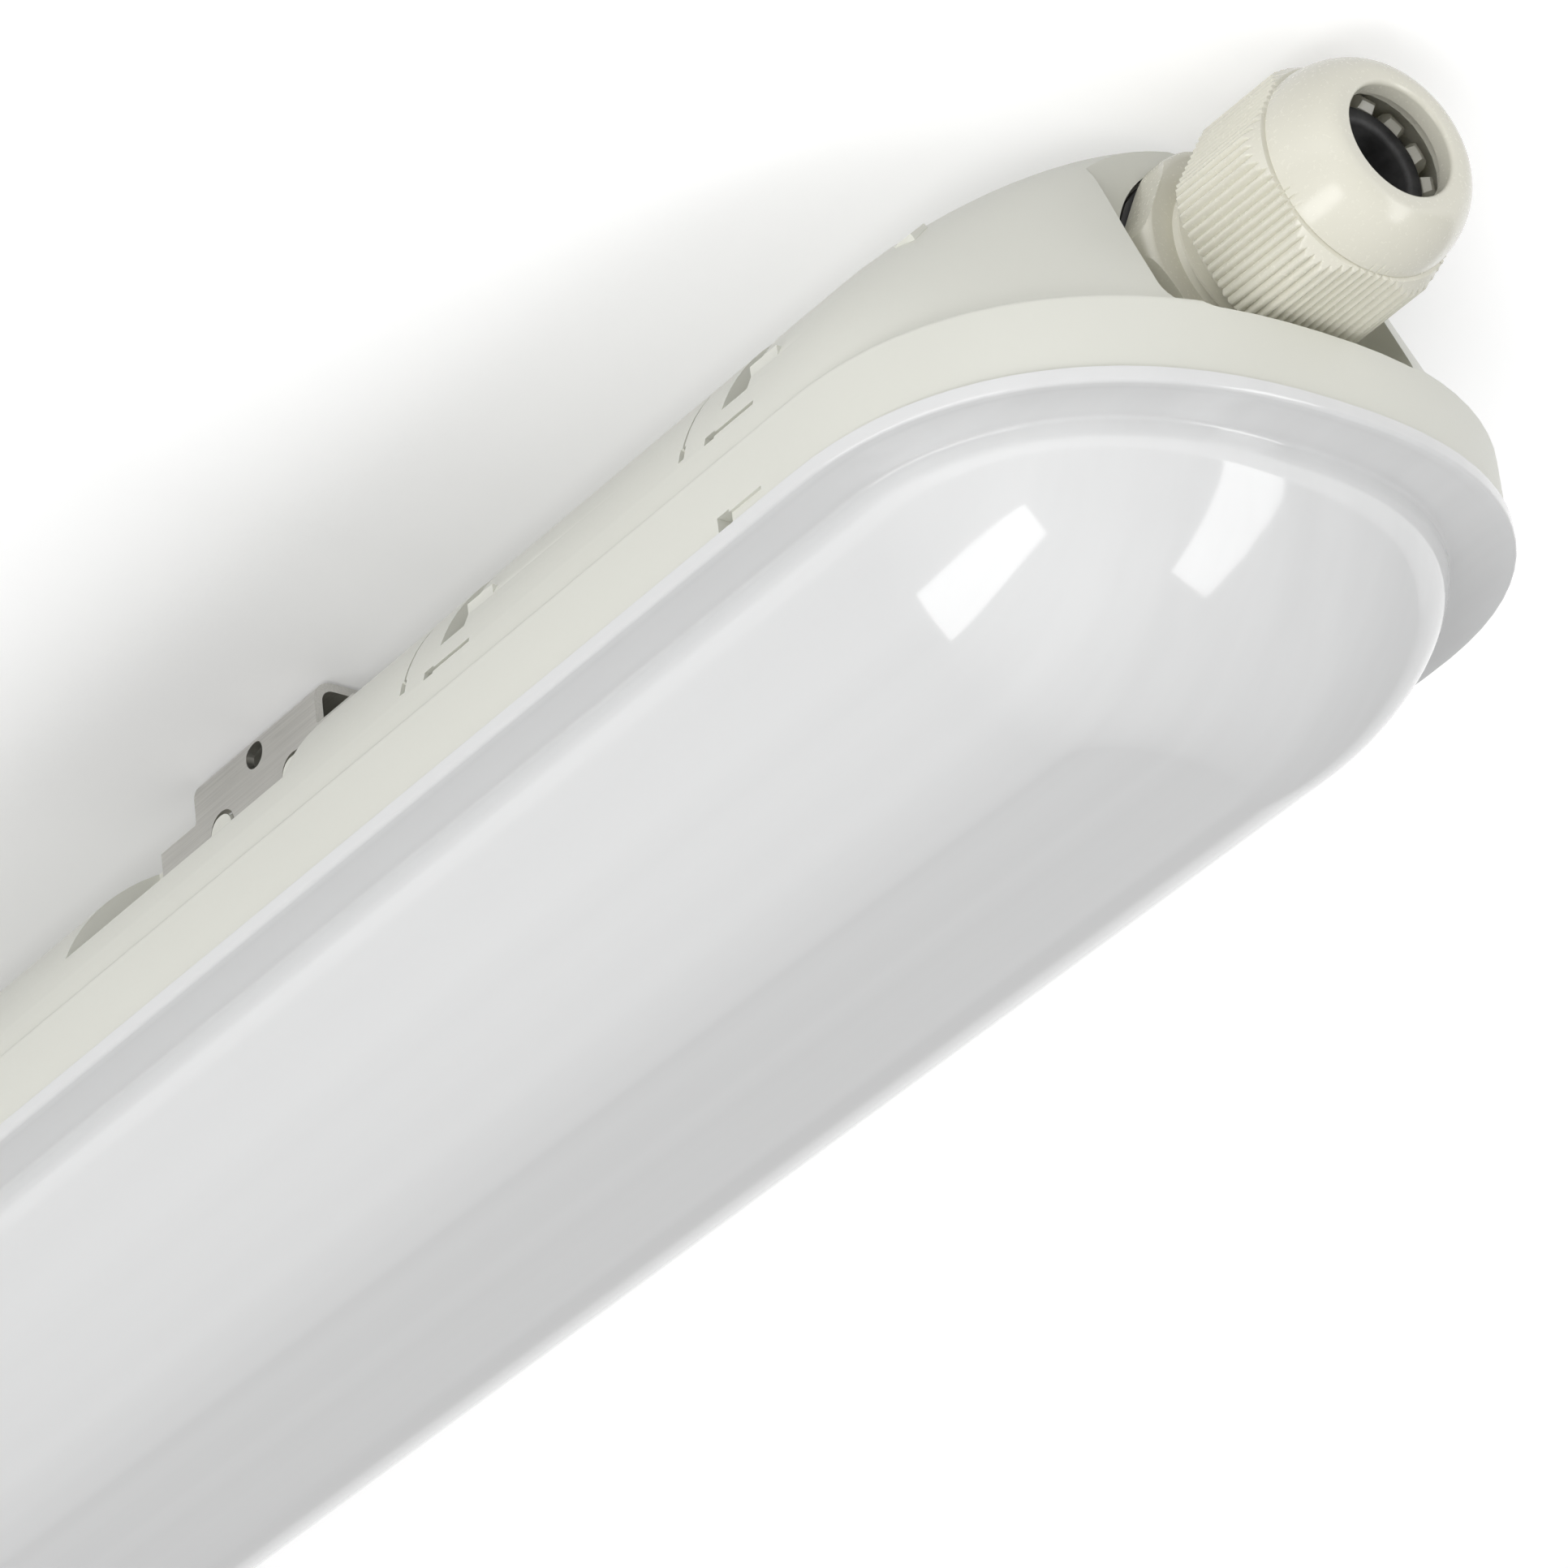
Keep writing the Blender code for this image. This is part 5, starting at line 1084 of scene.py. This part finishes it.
def bump(height, distance, strength):
    """A normal raised by a height socket over a distance in metres."""
    raised = add_node(height.id_data, "Bump", Height=height, Distance=distance, Strength=strength)
    return raised.outputs["Normal"]


def shades(colour, *factors):
    """The colour at each of several brightnesses, none above white and all opaque."""
    return [(*(min(1.0, channel * factor) for channel in colour), 1.0) for factor in factors]


def moulded_plastic(name, colour, roughness, gloss=0.0):
    """Injection-moulded plastic: fine spark grain, and slight flow marks in tone."""
    material, tree, shader = new_material(name)
    flow = noise(tree, 18.0, detail=3.0, stretch=(0.4, 1.0, 1.0))
    grain = noise(tree, 2600.0, detail=2.0)
    set_inputs(
        shader,
        Base_Color=mix_colours(remap(flow), *shades(colour, 1.015, 0.965)),
        Roughness=remap(grain, roughness - 0.05, roughness + 0.06),
        Normal=bump(grain, 0.02 * MM, strength=0.3),
        Coat_Weight=gloss,
        Coat_Roughness=0.1,
    )
    return material


def opal_plastic(name, colour):
    """Opal polycarbonate: milky and glossy, with faint prism lines along its length."""
    material, tree, shader = new_material(name)
    streaks = noise(tree, 230.0, detail=2.0, stretch=(0.004, 1.0, 0.35))
    prisms = noise(tree, 900.0, detail=1.0, stretch=(0.001, 1.0, 0.2))
    set_inputs(
        shader,
        Base_Color=mix_colours(remap(streaks), *shades(colour, 1.02, 0.975)),
        Roughness=remap(prisms, 0.07, 0.11),
        Normal=bump(prisms, 0.01 * MM, strength=0.25),
        IOR=1.58,
        Coat_Weight=0.3,
        Coat_Roughness=0.03,
    )
    return material


def rubber(name, colour):
    """Moulded rubber: near black, matt, slightly dusty."""
    material, tree, shader = new_material(name)
    dust = noise(tree, 420.0, detail=5.0)
    grain = noise(tree, 3000.0, detail=2.0)
    set_inputs(
        shader,
        Base_Color=mix_colours(remap(dust), *shades(colour, 1.0, 2.4)),
        Roughness=remap(grain, 0.5, 0.65),
        Normal=bump(grain, 0.03 * MM, strength=0.4),
    )
    return material


def brushed_steel(name, colour):
    """Stainless sheet with fine brush lines and clouded patches."""
    material, tree, shader = new_material(name)
    bright, plain, dull = shades(colour, 1.08, 0.94, 0.8)
    brush = noise(tree, 4200.0, detail=3.0, stretch=(0.02, 1.0, 1.0))
    clouds = noise(tree, 60.0, detail=3.0)
    brushed = mix_colours(remap(brush), bright, plain)
    set_inputs(
        shader,
        Base_Color=mix_colours(remap(clouds, high=0.5), brushed, dull),
        Roughness=remap(brush, 0.28, 0.44),
        Normal=bump(brush, 0.01 * MM, strength=0.3),
        Metallic=1.0,
    )
    return material


def coated_steel(name, colour):
    """White powder coat with its orange peel."""
    material, tree, shader = new_material(name)
    peel = noise(tree, 700.0, detail=2.0)
    set_inputs(
        shader,
        Base_Color=mix_colours(remap(noise(tree, 30.0)), *shades(colour, 1.03, 0.97)),
        Roughness=remap(peel, 0.28, 0.36),
        Normal=bump(peel, 0.05 * MM, strength=0.3),
    )
    return material


def solder_mask(name, colour):
    """The white lacquer of a light board, over copper fields that show as a faint relief."""
    material, tree, shader = new_material(name)
    tracks = add_node(tree, "TexBrick", Vector=object_coordinates(tree), Scale=1.0)
    set_inputs(tracks, Mortar_Size=TRACK_GAP, Brick_Width=CHIP_SPACING, Row_Height=TRACK_ROW)
    edges = tracks.outputs["Fac"]
    set_inputs(
        shader,
        Base_Color=mix_colours(edges, *shades(colour, 1.04, 0.96)),
        Roughness=remap(noise(tree, 900.0), 0.38, 0.48),
        Normal=bump(edges, 0.05 * MM, strength=0.5),
    )
    return material


def sleeve(name, colour, stripe=None):
    """The glossy sleeve of a single core, with a second colour in lengthwise stripes if one is given."""
    material, tree, shader = new_material(name)
    wear = noise(tree, 600.0)
    tone = mix_colours(remap(wear), *shades(colour, 1.0, 1.2))
    if stripe:
        wave = add_node(tree, "TexWave", Vector=object_coordinates(tree), Scale=90.0, Distortion=0.4)
        wave.bands_direction = "Y"
        tone = mix_colours(remap(wave.outputs["Fac"], start=0.48, end=0.52), tone, (*stripe, 1.0))
    set_inputs(
        shader,
        Base_Color=tone,
        Roughness=remap(wear, 0.3, 0.42),
        Normal=bump(noise(tree, 2500.0), 0.02 * MM, strength=0.3),
    )
    return material


def make_materials():
    """One material for each slot of the record, and the chips' phosphor."""
    return {
        "moulded_cream": moulded_plastic("housing_cream", (0.74, 0.742, 0.678), 0.42),
        "gland_cream": moulded_plastic("gland_plastic", (0.735, 0.718, 0.618), 0.23, gloss=0.3),
        "white_plastic": moulded_plastic("satin_white", (0.78, 0.78, 0.76), 0.38),
        "opal_diffuser": opal_plastic("opal", (0.728, 0.732, 0.732)),
        "black_rubber": rubber("rubber_black", (0.034, 0.034, 0.035)),
        "stainless_sheet": brushed_steel("stainless", (0.64, 0.63, 0.60)),
        "white_coated_steel": coated_steel("white_coat", (0.78, 0.78, 0.77)),
        "white_board": solder_mask("white_mask", (0.77, 0.77, 0.75)),
        "brown_wire": sleeve("brown_sleeve", (0.14, 0.055, 0.025)),
        "blue_wire": sleeve("blue_sleeve", (0.02, 0.10, 0.42)),
        "green_wire": sleeve("green_sleeve", (0.09, 0.32, 0.05), stripe=(0.75, 0.62, 0.03)),
        "red_wire": sleeve("red_sleeve", (0.45, 0.02, 0.02)),
        "black_wire": sleeve("black_sleeve", (0.02, 0.02, 0.02)),
        "phosphor": moulded_plastic("phosphor_yellow", (0.82, 0.62, 0.1), 0.3),
    }


def dress_nodes(materials):
    """Gives each CAD node the material of its slot."""
    for entry in frame["record"]["subparts"]:
        node = NODES[entry["node"]]
        node.data.materials.clear()
        node.data.materials.append(materials[entry["material_slot"]])


# Studio


def seen_directly(tree):
    """1 for rays from the camera, off mirrors and through clear things, and 0 for rays that bring light."""
    ray = add_node(tree, "LightPath").outputs
    seen = ray["Is Camera Ray"]
    for other in ("Is Glossy Ray", "Is Transmission Ray"):
        seen = calculate("MAXIMUM", seen, ray[other])
    return seen


def stage_paint(name, lift):
    """Paint that shows only from its front, and only to the camera and in mirrors and clear things.

    Light for the object passes through it, and its lit part keeps the object's shadow. Its glow is
    painted shade, dimmer close to the object, and the lift paints it lighter toward the gland's end.
    """
    material, tree, shader = new_material(name)
    # Painted shade: the glow dims where the object is close by, and a painted lightening rises along X
    nearby = add_node(tree, "AmbientOcclusion", Distance=SHADE_REACH).outputs["AO"]
    along = add_node(tree, "SeparateXYZ", Vector=object_coordinates(tree)).outputs["X"]
    shade = remap(nearby, STAGE_SHADE, STAGE_GLOW, *SHADE_SPAN)
    glow = calculate("ADD", shade, remap(along, 0.0, lift, *LIFT_SPAN))
    set_inputs(shader, Base_Color=STAGE_COLOUR, Roughness=0.9, Specular_IOR_Level=0.0)
    set_inputs(shader, Emission_Color=WHITE, Emission_Strength=glow)
    behind = add_node(tree, "NewGeometry").outputs["Backfacing"]
    front = calculate("SUBTRACT", seen_directly(tree), behind)
    mix = add_node(tree, "MixShader", Fac=front)
    feed(mix.inputs[1], add_node(tree, "BsdfTransparent").outputs["BSDF"])
    feed(mix.inputs[2], shader.outputs["BSDF"])
    set_inputs(tree.nodes["Material Output"], Surface=mix.outputs["Shader"])
    return material


def stage_plane(name, height, facing, material):
    """A wide level plane whose face looks up (1) or down (-1)."""
    shape = bmesh.new()
    bmesh.ops.create_grid(shape, x_segments=1, y_segments=1, size=STAGE_HALF)
    if facing < 0:
        bmesh.ops.reverse_faces(shape, faces=shape.faces)
    mesh = mesh_of(name, shape)
    new_object(name, mesh, Matrix.Translation((0, 0, height)), material)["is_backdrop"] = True


def softbox(name, azimuth, elevation, size, power, reflected):
    """A softbox that faces the object, in a direction from it in degrees: azimuth from +X toward +Y."""
    light = bpy.data.lights.new(name, "AREA")
    light.shape = "RECTANGLE"
    light.size, light.size_y = size
    light.energy = power
    lamp = new_object(name, light, Matrix())
    turn, rise = math.radians(azimuth), math.radians(elevation)
    away = Vector((math.cos(turn) * math.cos(rise), math.sin(turn) * math.cos(rise), math.sin(rise)))
    lamp.location = Vector(STUDIO_TARGET) + away * STUDIO_DISTANCE
    lamp.rotation_euler = away.to_track_quat("Z", "Y").to_euler()
    lamp.visible_glossy = reflected


def build_studio():
    """The ceiling that the fixture hangs from, a floor below, softboxes and a pale surround."""
    stage_plane("ceiling", CEILING_GAP, -1, stage_paint("ceiling_white", PAINTED_LIGHT_LIFT))
    stage_plane("floor", -FLOOR_DEPTH, 1, stage_paint("floor_white", 0.0))
    for settings in SOFTBOXES:
        softbox(*settings)
    world = bpy.data.worlds.new("surround")
    bpy.context.scene.world = world
    world.use_nodes = True
    tree = world.node_tree
    level = remap(seen_directly(tree), WORLD_LEVEL, BACKDROP_LEVEL, 0.0, 1.0)
    set_inputs(tree.nodes["Background"], Color=WHITE, Strength=level)


def build_camera():
    camera = bpy.data.cameras.new("camera")
    camera.sensor_width = CAMERA_SENSOR
    camera.lens = CAMERA_LENS
    camera.clip_start = CAMERA_NEAR
    holder = new_object("camera", camera, Matrix())
    holder.location = CAMERA_AT
    holder.rotation_euler = [math.radians(angle) for angle in CAMERA_ANGLES]
    bpy.context.scene.camera = holder
    bpy.context.scene.view_settings.view_transform = "Standard"


def write_sizes():
    """Works out the CAD model's box and the visual model's box as lists of corners."""
    boxes = {"cad": CAD_BOX, "visual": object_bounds()}
    plain = {name: [list(corner) for corner in box] for name, box in boxes.items()}


build_camera()
finishes = make_materials()
dress_nodes(finishes)
make_housing(finishes["moulded_cream"])
make_diffuser(finishes["opal_diffuser"])
make_gland_body(finishes["gland_cream"])
make_gland_seal(finishes["black_rubber"])
make_dome_nut(finishes["gland_cream"])
make_brackets(finishes["stainless_sheet"])
make_light_chips(finishes["white_plastic"], finishes["phosphor"])
make_terminal_screws(finishes["stainless_sheet"])
make_driver_ribs(finishes["white_plastic"])
build_studio()
write_sizes()
